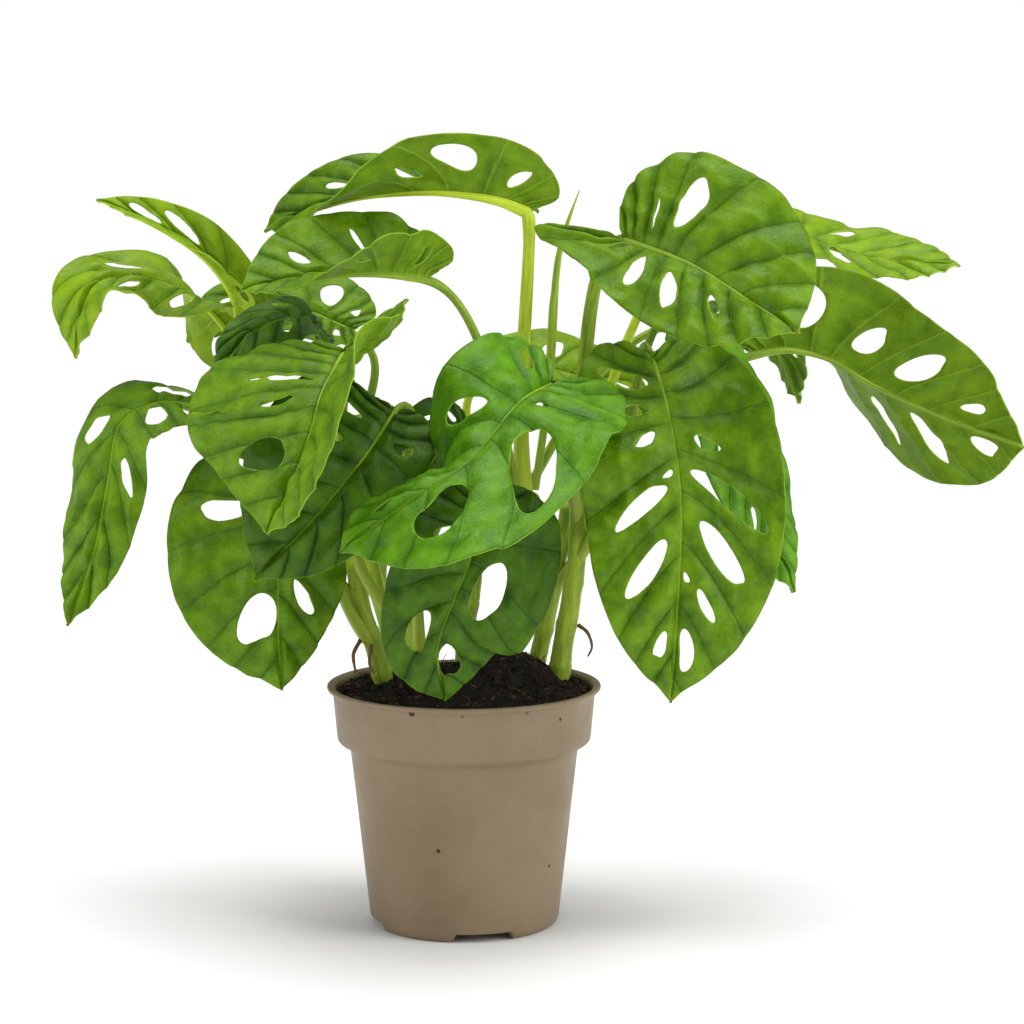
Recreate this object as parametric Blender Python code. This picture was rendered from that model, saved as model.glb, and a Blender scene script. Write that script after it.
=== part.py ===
"""A potted monstera (the small, windowed kind) in a plastic nursery pot, built as separate pieces.

The origin is the middle of the circle that the pot stands on, with +Z up and the plant's broad side along X.
Lengths are in millimetres until a mesh is made, and each mesh is made in metres.

The pieces: the pot, the soil in it, the stems that stand in the soil, and for each leaf a petiole (its stalk)
and a blade. A blade is cut flat, as an outline with windows, and is then bent along its midrib.
"""

import math
from collections import namedtuple

import bmesh
import bpy
import numpy as np
from mathutils import Vector
from mathutils.geometry import delaunay_2d_cdt

MM = 0.001
GAP = 0.35  # between two pieces that touch

# ---------------------------------------------------------------- driving sizes

POT_HEIGHT = 106.0
RIM_RADIUS = 60.0
BAND_TOP_RADIUS = 57.4
BAND_FOOT_RADIUS = 55.6
BAND_HEIGHT = 24.0
LEDGE_HEIGHT = 4.8
BODY_TOP_RADIUS = 49.9
BODY_FOOT_RADIUS = 41.9
FOOT_HEIGHT = 4.5
WALL = 1.3
POT_SIDES = 40
FOOT_COUNT = 4
FOOT_GAP_DEG = 38.0
FOOT_GAP_START_DEG = -77.0  # the gap that faces the front sits a little to the right
DRAIN_HOLES = 6
DRAIN_RADIUS = 4.0
DRAIN_CIRCLE = 25.0

SOIL_EDGE_DROP = 3.0  # below the rim, where the soil meets the wall
SOIL_DOME = 7.0
SOIL_LUMP = 1.4
MOUND_CENTRE = (24.0, 16.0)  # the soil is heaped round the stems on the right
MOUND_HEIGHT = 13.0
MOUND_SPREAD = 22.0

BLADE_THICKNESS = 0.6
OUTLINE_STEPS = 13  # on each side of a blade
HOLE_CORNERS = 8


# ---------------------------------------------------------------- the blades

# A side of a blade, from its midrib outwards: its width in mm, how far it is folded up at the midrib and
# how far it curls further up to the margin, both in degrees at even steps from base to tip. Below zero, it
# goes down. lobe is how far the basal lobe reaches back, as a multiple of the usual one.
Side = namedtuple("Side", "width fold curl lobe", defaults=[1.0])

# A window between two veins. side is -1 (left) or 1 (right), along is its place from base (0) to tip (1)
# counted on the margin, out is its place from midrib (0) to margin (1), and the last two are its half sizes
# in those units.
Window = namedtuple("Window", "side along out half_along half_out")

# midrib: points from base to tip. face: where the upper surface looks, at even steps from base to tip.
# lift: how many mm the margin's waves rise. stalk: the stem that carries the leaf, the height where it
# leaves that stem, how it leans out there in x and y, and how far it runs straight on at its foot and at
# the blade.
Leaf = namedtuple("Leaf", "name midrib face left right lift seed windows stalk")

# Half of a blade's outline as (share of the half width, share of the length), from the notch at the stalk,
# round the basal lobe, to the drip tip.
OUTLINE = (
    (0.0, 0.0),
    (0.26, -0.058),
    (0.56, -0.052),
    (0.83, 0.035),
    (0.97, 0.17),
    (1.0, 0.34),
    (0.97, 0.50),
    (0.86, 0.66),
    (0.65, 0.80),
    (0.37, 0.905),
    (0.12, 0.965),
    (0.0, 1.0),
)
VEIN_SLOPE = 1.9  # the veins start crowded at the base of the midrib
VEIN_BEND = 1.35  # a vein leaves the midrib squarely and bends towards the tip


def smooth_line(points, count):
    """count points along a Catmull-Rom spline through points, evenly spaced by length."""
    p = np.array(points, float)
    p = np.vstack([2 * p[0] - p[1], p, 2 * p[-1] - p[-2]])
    t = np.linspace(0, 1, 24, endpoint=False)[:, None]
    spans = []
    for a, b, c, d in zip(p, p[1:], p[2:], p[3:]):
        spans.append(
            0.5 * (2 * b + (c - a) * t + (2 * a - 5 * b + 4 * c - d) * t**2 + (3 * b - a - 3 * c + d) * t**3)
        )
    line = np.vstack([*spans, p[-2][None]])
    run = np.concatenate([[0], np.cumsum(np.linalg.norm(np.diff(line, axis=0), axis=1))])
    even = np.linspace(0, run[-1], count)
    return np.stack([np.interp(even, run, line[:, k]) for k in range(line.shape[1])], 1)


def unit(v):
    return v / np.linalg.norm(v, axis=-1, keepdims=True)


MARGIN = smooth_line(OUTLINE, 200)
MARGIN_SHARE = np.linspace(0, 1, len(MARGIN))


def flat_point(share, side, out, leaf, length):
    """Where a point lies on the flat blade: this far out on the vein that ends at this share of margin."""
    half = np.where(side < 0, leaf.left.width, leaf.right.width)
    end_x = np.interp(share, MARGIN_SHARE, MARGIN[:, 0]) * half
    end_y = np.interp(share, MARGIN_SHARE, MARGIN[:, 1]) * length
    end_y = np.where(end_y < 0, end_y * np.where(side < 0, leaf.left.lobe, leaf.right.lobe), end_y)
    start_y = share**VEIN_SLOPE * length
    return side * end_x * out, start_y + (end_y - start_y) * out**VEIN_BEND


class Midrib:
    """The curve that a blade is bent along, with the blade's own directions at each point."""

    def __init__(self, leaf):
        self.line = smooth_line(leaf.midrib, 60)
        steps = np.linalg.norm(np.diff(self.line, axis=0), axis=1)
        self.run = np.concatenate([[0], np.cumsum(steps)])
        self.length = self.run[-1]
        self.forward = unit(np.gradient(self.line, axis=0))
        stops, places = np.linspace(0, 1, len(leaf.face)), self.run / self.length
        looks = np.stack([np.interp(places, stops, column) for column in zip(*leaf.face)], 1)
        looks = looks - (looks * self.forward).sum(1, keepdims=True) * self.forward
        self.up = unit(looks)
        self.right = np.cross(self.forward, self.up)

    def at(self, y):
        """Point, forward, up and right at the length y. It runs straight on past both ends."""
        inside = np.clip(y, 0, self.length)

        def pick(values):
            return np.stack([np.interp(inside, self.run, values[:, k]) for k in range(3)], -1)

        forward, up = unit(pick(self.forward)), unit(pick(self.up))
        point = pick(self.line) + forward * (y - inside)[..., None]
        return point, forward, up, unit(np.cross(forward, up))


def bend(leaf, midrib, x, y):
    """Each flat point's place in space: out from the midrib on an arc, and lifted by the margin's waves."""
    point, _, up, right = midrib.at(y)
    along = np.clip(y / midrib.length, 0, 1)
    fold, curl, width = np.zeros_like(x), np.zeros_like(x), np.ones_like(x)
    for side, mine in ((leaf.left, x < 0), (leaf.right, x >= 0)):
        fold = np.where(mine, np.interp(along, np.linspace(0, 1, len(side.fold)), side.fold), fold)
        curl = np.where(mine, np.interp(along, np.linspace(0, 1, len(side.curl)), side.curl), curl)
        width = np.where(mine, side.width, width)
    fold, rate = np.radians(fold), np.radians(curl) / width
    rate = np.where(np.abs(rate) < 1e-5, 1e-5, rate)
    reach = np.abs(x)
    turned = fold + rate * reach
    out = (np.sin(turned) - np.sin(fold)) / rate
    rise = (np.cos(fold) - np.cos(turned)) / rate
    phase = leaf.seed * 1.7 + (x > 0) * 2.1
    wave = np.sin(along * 13 + phase) + 0.6 * np.sin(along * 23 + phase * 2)
    rise_wave = leaf.lift * wave * (reach / width) ** 2
    across = np.sign(x) * out
    return (
        point
        + right * (across - np.sign(x) * rise_wave * np.sin(turned))[..., None]
        + up * (rise + rise_wave * np.cos(turned))[..., None]
    )


def inside_polygon(x, y, corners):
    """True where the point lies inside the closed polygon."""
    inside = np.zeros(x.shape, bool)
    for (ax, ay), (bx, by) in zip(corners, np.roll(corners, -1, axis=0)):
        crosses = (ay > y) != (by > y)
        height = by - ay if abs(by - ay) > 1e-12 else 1e-12
        inside ^= crosses & (x < (bx - ax) * (y - ay) / height + ax)
    return inside


def blade_mesh(leaf):
    """A flat triangulated blade with its windows left open, bent along its midrib."""
    midrib = Midrib(leaf)
    length = midrib.length
    shares = np.linspace(0, 1, OUTLINE_STEPS + 1)
    right_x, right_y = flat_point(shares, 1, 1.0, leaf, length)
    left_x, left_y = flat_point(shares[1:-1], -1, 1.0, leaf, length)
    outline = np.concatenate([np.stack([right_x, right_y], 1), np.stack([left_x, left_y], 1)[::-1]])
    rings = [outline]
    for w in leaf.windows or window_set(leaf.seed):
        turn = np.linspace(0, 2 * math.pi, HOLE_CORNERS, endpoint=False)
        share = w.along + w.half_along * np.sin(turn)
        out = w.out + w.half_out * np.cos(turn)
        x, y = flat_point(share, w.side, out, leaf, length)
        rings.append(np.stack([x, y], 1)[:: w.side])
    middle = np.linspace(0, 1, 9)[1:-1] * length
    inner = [np.stack([np.zeros(7), middle], 1)]
    for side in (-1, 1):
        for out in (0.4, 0.75):
            x, y = flat_point(np.linspace(0.14, 0.8, 5), side, out, leaf, length)
            inner.append(np.stack([x, y], 1))
    inner = np.concatenate(inner)
    clear = np.ones(len(inner), bool)
    for ring in rings[1:]:
        centre, size = ring.mean(0), np.abs(ring - ring.mean(0)).max(0) + 2.5
        clear &= (np.abs(inner - centre) > size).any(1)
    points = np.concatenate([*rings, inner[clear]])
    edges, start = [], 0
    for ring in rings:
        count = len(ring)
        edges += [(start + i, start + (i + 1) % count) for i in range(count)]
        start += count
    verts, _, faces, *_ = delaunay_2d_cdt([Vector(p) for p in points], edges, [], 0, 1e-4)
    flat = np.array([tuple(v) for v in verts])
    faces = np.array([tuple(f) for f in faces])
    centre = flat[faces].mean(1)
    keep = inside_polygon(centre[:, 0], centre[:, 1], outline)
    for ring in rings[1:]:
        keep &= ~inside_polygon(centre[:, 0], centre[:, 1], ring)
    faces = faces[keep]
    return bend(leaf, midrib, flat[:, 0], flat[:, 1]), faces, midrib


# ---------------------------------------------------------------- helpers for Blender


def material(name, colour, roughness):
    made = bpy.data.materials.new(name)
    made.use_nodes = True
    shader = made.node_tree.nodes["Principled BSDF"]
    shader.inputs["Base Color"].default_value = (*colour, 1)
    shader.inputs["Roughness"].default_value = roughness
    return made


def add_object(name, points, faces, finish):
    """A new object from points in millimetres."""
    mesh = bpy.data.meshes.new(name)
    mesh.from_pydata([tuple(p) for p in np.asarray(points) * MM], [], [tuple(map(int, f)) for f in faces])
    mesh.materials.append(finish)
    obj = bpy.data.objects.new(name, mesh)
    bpy.context.scene.collection.objects.link(obj)
    return obj


def recalculate(obj):
    work = bmesh.new()
    work.from_mesh(obj.data)
    bmesh.ops.remove_doubles(work, verts=work.verts, dist=1e-6)
    bmesh.ops.recalc_face_normals(work, faces=work.faces)
    work.to_mesh(obj.data)
    work.free()
    return obj


def tube(name, line, radii, sides, finish):
    """A round bar along a line, with flat ends. radii holds one radius for each point."""
    line = np.asarray(line, float)
    forward = unit(np.gradient(line, axis=0))
    side = unit(np.cross(forward[0], (0.3, 1.0, 0.2)))
    turn = np.linspace(0, 2 * math.pi, sides, endpoint=False)
    rings = []
    for point, way, radius in zip(line, forward, radii):
        side = unit(side - way * (side @ way))
        other = np.cross(way, side)
        rings.append(point + radius * (np.cos(turn)[:, None] * side + np.sin(turn)[:, None] * other))
    points = np.concatenate(rings)
    faces = [tuple(range(sides))[::-1]]
    for ring in range(len(line) - 1):
        for k in range(sides):
            a, b = ring * sides + k, ring * sides + (k + 1) % sides
            faces.append((a, b, b + sides, a + sides))
    faces.append(tuple(range(len(points) - sides, len(points))))
    return recalculate(add_object(name, points, faces, finish))


def lathe(name, profile, finish, sides=POT_SIDES):
    """Turns a profile of (radius, height) round Z. A profile that ends on the axis closes there."""
    turn = np.linspace(0, 2 * math.pi, sides, endpoint=False)
    points, faces, rows = [], [], []
    for radius, height in profile:
        if radius == 0:
            rows.append([len(points)] * sides)
            points.append((0, 0, height))
        else:
            rows.append(list(range(len(points), len(points) + sides)))
            points += [(radius * math.cos(a), radius * math.sin(a), height) for a in turn]
    for low, high in zip(rows, rows[1:]):
        for k in range(sides):
            corners = (low[k], low[(k + 1) % sides], high[(k + 1) % sides], high[k])
            faces.append(tuple(dict.fromkeys(corners)))
    return recalculate(add_object(name, points, faces, finish))


def cut(obj, cutter):
    """Takes the cutter's shape out of obj. The cutter is a guide and isn't part of the object."""
    cutter.hide_render = True
    cutter.display_type = "WIRE"
    modifier = obj.modifiers.new("cut_" + cutter.name, "BOOLEAN")
    modifier.operation = "DIFFERENCE"
    modifier.object = cutter
    modifier.solver = "EXACT"


# ---------------------------------------------------------------- the plant's layout, in mm

# A stem: its line from below the soil to its top, and its radius at the foot and at the top.
Stem = namedtuple("Stem", "name line foot_radius top_radius")

STEMS = (
    Stem("stem_right", [(40, 8, 84), (43, 9, 118), (47, 9, 142), (50, 8, 170), (49, 4, 204)], 4.9, 3.7),
    Stem("stem_right_back", [(26, 28, 84), (34, 30, 118), (40, 30, 146), (46, 28, 182)], 4.3, 3.2),
    Stem("stem_middle", [(14, 12, 84), (18, 12, 122), (26, 10, 152), (30, 6, 190)], 4.6, 3.5),
    Stem("stem_back", [(-2, 34, 84), (0, 38, 118), (4, 44, 146), (4, 48, 172)], 4.3, 3.2),
    Stem("stem_left", [(-30, 0, 84), (-38, 0, 118), (-44, -1, 138), (-48, -2, 160)], 4.6, 3.7),
    Stem("stem_left_back", [(-24, 24, 84), (-32, 27, 118), (-40, 32, 146), (-44, 35, 174)], 4.3, 3.2),
    Stem("stem_front_left", [(-10, -16, 84), (-16, -20, 112), (-22, -26, 134), (-25, -28, 158)], 4.3, 3.4),
)

# Thin pieces that are no leaf, as (name, line, radii): the rolled young leaf on the tallest stem, and
# aerial roots.
SHOOTS = (
    ("young_leaf", [(31, 7, 190.5), (37, 7, 236), (40, 5, 284), (44, 3, 304), (50, 0, 321)],
     (1.9, 1.7, 2.1, 1.5, 0.3)),
    ("root_right", [(50, 5, 131), (54, 3, 128), (56, 2, 122), (54, 2, 117)], (0.9, 0.8, 0.6, 0.4)),
    ("root_left", [(-45, -4, 126), (-48, -7, 120), (-47, -9, 112)], (1.0, 0.8, 0.5)),
    ("root_left_front", [(-40, -6, 124), (-41, -9, 117), (-39, -11, 112)], (0.9, 0.7, 0.5)),
)


def window_set(seed, count=7):
    """Windows for a blade whose own can't be seen: some on each side, the largest near the middle."""
    draw = np.random.default_rng(seed)
    found = []
    for side in (-1, 1):
        places = np.linspace(0.27, 0.76, (count + (side > 0)) // 2)
        for place in places:
            size = 1 - abs(place - 0.45) * 1.3
            found.append(Window(side, place + draw.uniform(-0.015, 0.015), draw.uniform(0.42, 0.55),
                                size * draw.uniform(0.028, 0.045), size * draw.uniform(0.17, 0.27)))
    return found


# Each blade's own windows are given where they show. The rest follow window_set.
LEAVES = (
    Leaf("leaf_top", [(28, 0, 312), (12, -6, 318), (-14, -10, 321), (-42, -6, 319), (-66, 0, 312),
                      (-86, 7, 303)],
         [(0.1, 0.95, 0.3), (0, 0.75, 0.65), (-0.1, -0.3, 0.95), (-0.2, -0.85, 0.5)],
         Side(28, (5, 20), (10, 10), 1.2), Side(24, (78, 20), (10, 10)), 1.0, 1,
         [Window(-1, 0.48, 0.6, 0.035, 0.24), Window(-1, 0.33, 0.5, 0.02, 0.24),
          Window(-1, 0.59, 0.4, 0.02, 0.14),
          Window(1, 0.6, 0.55, 0.03, 0.16), Window(1, 0.76, 0.5, 0.02, 0.16)],
         ("stem_middle", 174, (-0.32, -0.2), 45, 6)),
    Leaf("leaf_upper_left", [(-14, -26, 286), (-38, -34, 288), (-63, -42, 286), (-92, -50, 281)],
         [(0, -0.25, 0.95), (0, -0.4, 0.9), (0, -0.5, 0.85)],
         Side(26, (70, 5), (15, 0), 1.6), Side(32, (30, 25), (5, 0)), 1.2, 2,
         [Window(1, 0.3, 0.55, 0.035, 0.3), Window(1, 0.52, 0.5, 0.01, 0.2),
          Window(-1, 0.3, 0.5, 0.03, 0.25),
          Window(-1, 0.55, 0.45, 0.02, 0.15), Window(1, 0.74, 0.5, 0.02, 0.18)],
         ("stem_middle", 160, (-0.3, -0.5), 50, 30)),
    Leaf("leaf_far_left_high", [(-95, -2, 256), (-97, -6, 274), (-108, -11, 291), (-126, -15, 304),
                                (-155, -16, 318)],
         [(0.9, -0.2, 0.35), (0.7, -0.35, 0.6), (0.2, -0.6, 0.8), (0.1, -0.6, 0.8)],
         Side(14, (40, 30), (10, 0), 0.4), Side(15, (40, 30), (10, 0), 0.4), 1.0, 3,
         [Window(1, 0.7, 0.5, 0.04, 0.28), Window(1, 0.84, 0.5, 0.04, 0.28),
          Window(-1, 0.45, 0.5, 0.03, 0.25),
          Window(-1, 0.62, 0.5, 0.025, 0.22)],
         ("stem_left", 152, (-0.3, 0.15), 55, 30)),
    Leaf("leaf_left_pale", [(-97, 20, 251), (-117, 15, 275), (-140, 8, 283), (-160, -4, 278),
                            (-166, -14, 250)],
         [(-0.5, 0.6, 0.6), (-0.3, 0.3, 0.9), (-0.3, -0.2, 0.95), (-0.6, -0.6, 0.4), (-0.7, -0.7, 0)],
         Side(27, (-20, -45, -30, 10, 10), (0, -10, 0, 10, 0), 0.4), Side(26, (25, 10), (10, 0)), 1.2, 4,
         [Window(-1, 0.36, 0.55, 0.045, 0.28), Window(-1, 0.52, 0.5, 0.025, 0.25),
          Window(1, 0.32, 0.5, 0.02, 0.26),
          Window(1, 0.45, 0.5, 0.02, 0.26), Window(1, 0.66, 0.5, 0.025, 0.22),
          Window(-1, 0.7, 0.5, 0.025, 0.2)],
         ("stem_left_back", 150, (-0.5, -0.1), 55, 40)),
    Leaf("leaf_left_dark", [(-56, -10, 256), (-70, -22, 268), (-88, -38, 263), (-104, -50, 244)],
         [(-0.1, -0.45, 0.9), (-0.1, -0.45, 0.9), (-0.4, -0.5, 0.7)],
         Side(20, (-10, -15), (5, 0), 0.6), Side(15, (8, 5), (-10, 0), 0.6), 1.5, 5,
         [Window(1, 0.36, 0.5, 0.02, 0.22), Window(1, 0.52, 0.5, 0.025, 0.22),
          Window(-1, 0.4, 0.5, 0.02, 0.22),
          Window(-1, 0.6, 0.5, 0.02, 0.18)],
         ("stem_front_left", 152, (-0.05, 0.3), 50, 25)),
    Leaf("leaf_front_left", [(-48, -72, 258), (-56, -92, 243), (-60, -102, 228), (-68, -110, 206),
                             (-77, -114, 188)],
         [(-0.3, -0.6, 0.75), (-0.3, -0.85, 0.4), (-0.25, -0.95, 0.2)],
         Side(48, (0, 35, 50, 45), (70, 30, 5, 0), 4.5), Side(60, (5, -5), (-15, -10)), 1.8, 6,
         [Window(1, 0.75, 0.45, 0.05, 0.26), Window(1, 0.45, 0.35, 0.012, 0.24),
          Window(1, 0.55, 0.3, 0.012, 0.12)],
         ("stem_front_left", 132, (-0.95, 0.05), 70, 30)),
    Leaf("leaf_left_under", [(-27, -60, 233), (-40, -74, 214), (-58, -82, 192), (-84, -84, 165)],
         [(-0.1, -0.8, 0.6), (-0.2, -0.9, 0.3), (-0.3, -0.9, 0.2)],
         Side(25, (-15, -20), (-10, 0), 0.6), Side(44, (22, 0), (-10, 0), 0.0), 1.5, 7,
         [Window(1, 0.36, 0.5, 0.02, 0.22), Window(1, 0.5, 0.5, 0.025, 0.22),
          Window(-1, 0.4, 0.5, 0.02, 0.22)],
         ("stem_front_left", 120, (0.2, -0.7), 70, 30)),
    Leaf("leaf_lower_left", [(-72, -24, 208), (-77, -38, 176), (-78, -44, 144), (-77, -42, 111)],
         [(-0.1, -0.8, 0.6), (0, -1, 0.1), (0, -1, -0.1)],
         Side(32, (-30, -30), (0, 0)), Side(48, (0, 0), (-10, 0)), 1.5, 8,
         [Window(1, 0.3, 0.6, 0.02, 0.14), Window(1, 0.47, 0.5, 0.025, 0.26),
          Window(1, 0.79, 0.36, 0.065, 0.3),
          Window(1, 0.52, 0.2, 0.025, 0.1), Window(-1, 0.45, 0.45, 0.02, 0.25),
          Window(-1, 0.7, 0.5, 0.03, 0.22)],
         ("stem_left", 122, (-0.5, -0.6), 50, 35)),
    Leaf("leaf_far_left_low",
         [(-112, -12, 229), (-130, -18, 232), (-146, -26, 223), (-151, -32, 198), (-157, -36, 168),
          (-168, -38, 138)],
         [(0, -0.4, 0.9), (-0.3, -0.5, 0.8), (-0.5, -0.8, 0.2), (-0.5, -0.85, 0)],
         Side(19, (-10, -20), (0, 0)), Side(22, (0, 0), (-20, -10)), 1.8, 9,
         [Window(1, 0.32, 0.5, 0.06, 0.3), Window(-1, 0.26, 0.5, 0.04, 0.24),
          Window(-1, 0.42, 0.5, 0.035, 0.26),
          Window(1, 0.52, 0.5, 0.025, 0.2), Window(-1, 0.6, 0.55, 0.02, 0.22)],
         ("stem_left", 138, (-0.6, -0.1), 60, 45)),
    Leaf("leaf_front_middle",
         [(38, -50, 243), (24, -72, 237), (4, -96, 216), (-12, -108, 207), (-26, -113, 197),
          (-48, -116, 181)],
         [(0.1, -0.6, 0.8), (-0.1, -0.75, 0.65), (-0.2, -0.85, 0.5), (-0.2, -0.9, 0.4)],
         Side(47, (8, 0), (0, -10), 1.8), Side(34, (15, 10, -45, -40, -10), (10, 0, -40, -20, 0)),
         2.2, 10,
         [Window(-1, 0.56, 0.55, 0.055, 0.3), Window(-1, 0.76, 0.5, 0.055, 0.28),
          Window(-1, 0.42, 0.2, 0.012, 0.06),
          Window(1, 0.28, 0.55, 0.03, 0.22), Window(1, 0.5, 0.5, 0.025, 0.2),
          Window(1, 0.86, 0.45, 0.03, 0.18)],
         ("stem_right", 176, (-0.2, -0.4), 50, 35)),
    Leaf("leaf_low_middle", [(6, -58, 196), (4, -68, 172), (-3, -70, 154), (-10, -66, 132),
                             (-7, -56, 109)],
         [(0, -0.95, 0.4), (0, -1, 0.1), (0, -0.9, -0.4)],
         Side(38, (0, -10), (-20, 0)), Side(30, (0, 0), (-10, 0)), 1.3, 11,
         [Window(-1, 0.58, 0.34, 0.1, 0.16), Window(1, 0.42, 0.4, 0.04, 0.14),
          Window(1, 0.74, 0.5, 0.055, 0.2),
          Window(-1, 0.86, 0.36, 0.06, 0.28)],
         ("stem_middle", 138, (-0.2, -0.7), 55, 35)),
    Leaf("leaf_right_hanging", [(80, -36, 253), (87, -54, 228), (91, -68, 196), (90, -73, 160),
                                (87, -70, 111)],
         [(0.1, -0.7, 0.7), (0, -0.95, 0.3), (0, -1, 0), (0, -1, 0)],
         Side(45, (-32, -30, -5, 0), (70, 60, 15, 0)), Side(41, (-6, 0), (0, 0)), 1.8, 12,
         [Window(1, 0.3, 0.5, 0.03, 0.28), Window(1, 0.4, 0.35, 0.015, 0.14),
          Window(1, 0.48, 0.3, 0.015, 0.12),
          Window(1, 0.6, 0.45, 0.02, 0.3), Window(1, 0.72, 0.5, 0.03, 0.26),
          Window(1, 0.88, 0.5, 0.02, 0.2),
          Window(-1, 0.5, 0.3, 0.015, 0.12), Window(-1, 0.58, 0.5, 0.022, 0.34),
          Window(-1, 0.68, 0.5, 0.025, 0.3),
          Window(-1, 0.79, 0.5, 0.015, 0.16), Window(-1, 0.9, 0.42, 0.032, 0.28)],
         ("stem_right", 158, (0.5, -0.4), 70, 35)),
    Leaf("leaf_right_behind", [(98, -8, 262), (114, -12, 228), (126, -14, 190), (142, -18, 149)],
         [(0.6, -0.6, 0.5), (0.7, -0.7, 0.1), (0.7, -0.7, 0)],
         Side(24, (5, 0), (0, 0)), Side(26, (5, 0), (0, 0)), 1.2, 13, [],
         ("stem_right_back", 144, (0.7, -0.6), 60, 45)),
    Leaf("leaf_upper_right", [(68, -24, 301), (95, -44, 292), (120, -62, 277), (138, -78, 266)],
         [(-0.4, -0.8, 0.35), (-0.25, -0.8, 0.5), (0, -0.8, 0.6)],
         Side(47, (10, 0), (-15, -10), 1.2), Side(33, (45, 5, 0), (-25, -15, -10), 6.0), 1.6, 14,
         [Window(1, 0.27, 0.3, 0.015, 0.16), Window(1, 0.42, 0.5, 0.025, 0.24),
          Window(1, 0.54, 0.5, 0.025, 0.24),
          Window(1, 0.7, 0.5, 0.018, 0.15), Window(-1, 0.46, 0.5, 0.028, 0.26),
          Window(-1, 0.36, 0.35, 0.01, 0.14)],
         ("stem_right", 192, (0.1, -0.1), 50, 25)),
    Leaf("leaf_right_high", [(128, 34, 306), (150, 33, 300), (174, 30, 292), (195, 24, 289),
                             (216, 16, 288)],
         [(0, -0.3, 0.95), (0, -0.3, 0.95), (0, -0.4, 0.9)],
         Side(28, (0, 5), (0, 0)), Side(26, (0, 0), (0, 0)), 1.0, 15,
         [Window(-1, 0.4, 0.5, 0.035, 0.22), Window(-1, 0.56, 0.5, 0.025, 0.2),
          Window(1, 0.4, 0.5, 0.035, 0.24),
          Window(1, 0.58, 0.5, 0.03, 0.2)],
         ("stem_right_back", 172, (0.2, 0.2), 70, 50)),
    Leaf("leaf_far_right",
         [(126, 10, 250), (141, 9, 252), (159, 6, 248), (178, 0, 237), (200, -9, 227), (222, -20, 219),
          (238, -36, 214)],
         [(0.1, 0.9, 0.35), (0.1, 0.9, 0.35), (0.1, 0.95, 0.2)],
         Side(44, (90, 30, -5), (10, 0)), Side(40, (8, 0), (5, 0)), 1.3, 16,
         [Window(1, 0.24, 0.5, 0.02, 0.18), Window(1, 0.38, 0.6, 0.05, 0.3),
          Window(1, 0.53, 0.4, 0.025, 0.2),
          Window(1, 0.66, 0.5, 0.035, 0.25), Window(1, 0.83, 0.5, 0.02, 0.16),
          Window(-1, 0.6, 0.55, 0.018, 0.26),
          Window(-1, 0.73, 0.5, 0.03, 0.28), Window(-1, 0.88, 0.5, 0.03, 0.22)],
         ("stem_right_back", 158, (0.6, 0.0), 60, 55)),
    Leaf("leaf_back_middle", [(14, 66, 236), (38, 74, 238), (66, 78, 228), (90, 78, 208)],
         [(0, -0.45, 0.9), (0, -0.45, 0.9), (0.3, -0.4, 0.8)],
         Side(26, (10, 5), (0, 0)), Side(26, (5, 0), (0, 0)), 1.2, 17, [],
         ("stem_back", 162, (0.1, 0.2), 50, 30)),
    Leaf("leaf_back_left", [(-50, 42, 258), (-76, 50, 268), (-102, 50, 268), (-124, 46, 252)],
         [(-0.1, -0.4, 0.9), (-0.1, -0.4, 0.9), (0, -0.4, 0.9)],
         Side(28, (10, 5), (0, 0)), Side(26, (10, 5), (0, 0)), 1.2, 18, [],
         ("stem_left_back", 164, (-0.2, 0.1), 60, 35)),
    Leaf("leaf_back_right", [(98, 58, 262), (122, 68, 260), (142, 73, 246), (152, 72, 222)],
         [(0, 0.2, 0.95), (0.3, 0.2, 0.9), (0.8, 0.3, 0.4)],
         Side(26, (10, 5), (0, 0)), Side(26, (10, 5), (0, 0)), 1.2, 19, [],
         ("stem_back", 148, (0.7, 0.1), 60, 50)),
    Leaf("leaf_back_low", [(-22, 74, 212), (-28, 94, 208), (-30, 108, 188), (-28, 114, 152)],
         [(0, 0.3, 0.95), (0, 0.8, 0.6), (0, 1, 0.1)],
         Side(34, (5, 5), (-10, 0)), Side(34, (5, 5), (-10, 0)), 1.5, 20, [],
         ("stem_left_back", 134, (0.1, 0.6), 50, 35)),
    Leaf("leaf_inner", [(2, -16, 222), (-8, -22, 214), (-16, -26, 200), (-20, -27, 178)],
         [(0, -0.7, 0.6), (-0.1, -0.8, 0.5), (-0.1, -0.9, 0.3)],
         Side(24, (5, 0), (0, 0)), Side(22, (5, 0), (0, 0)), 1.2, 21, [],
         ("stem_front_left", 142, (0.35, 0.25), 45, 25)),
)


# ---------------------------------------------------------------- building


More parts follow.
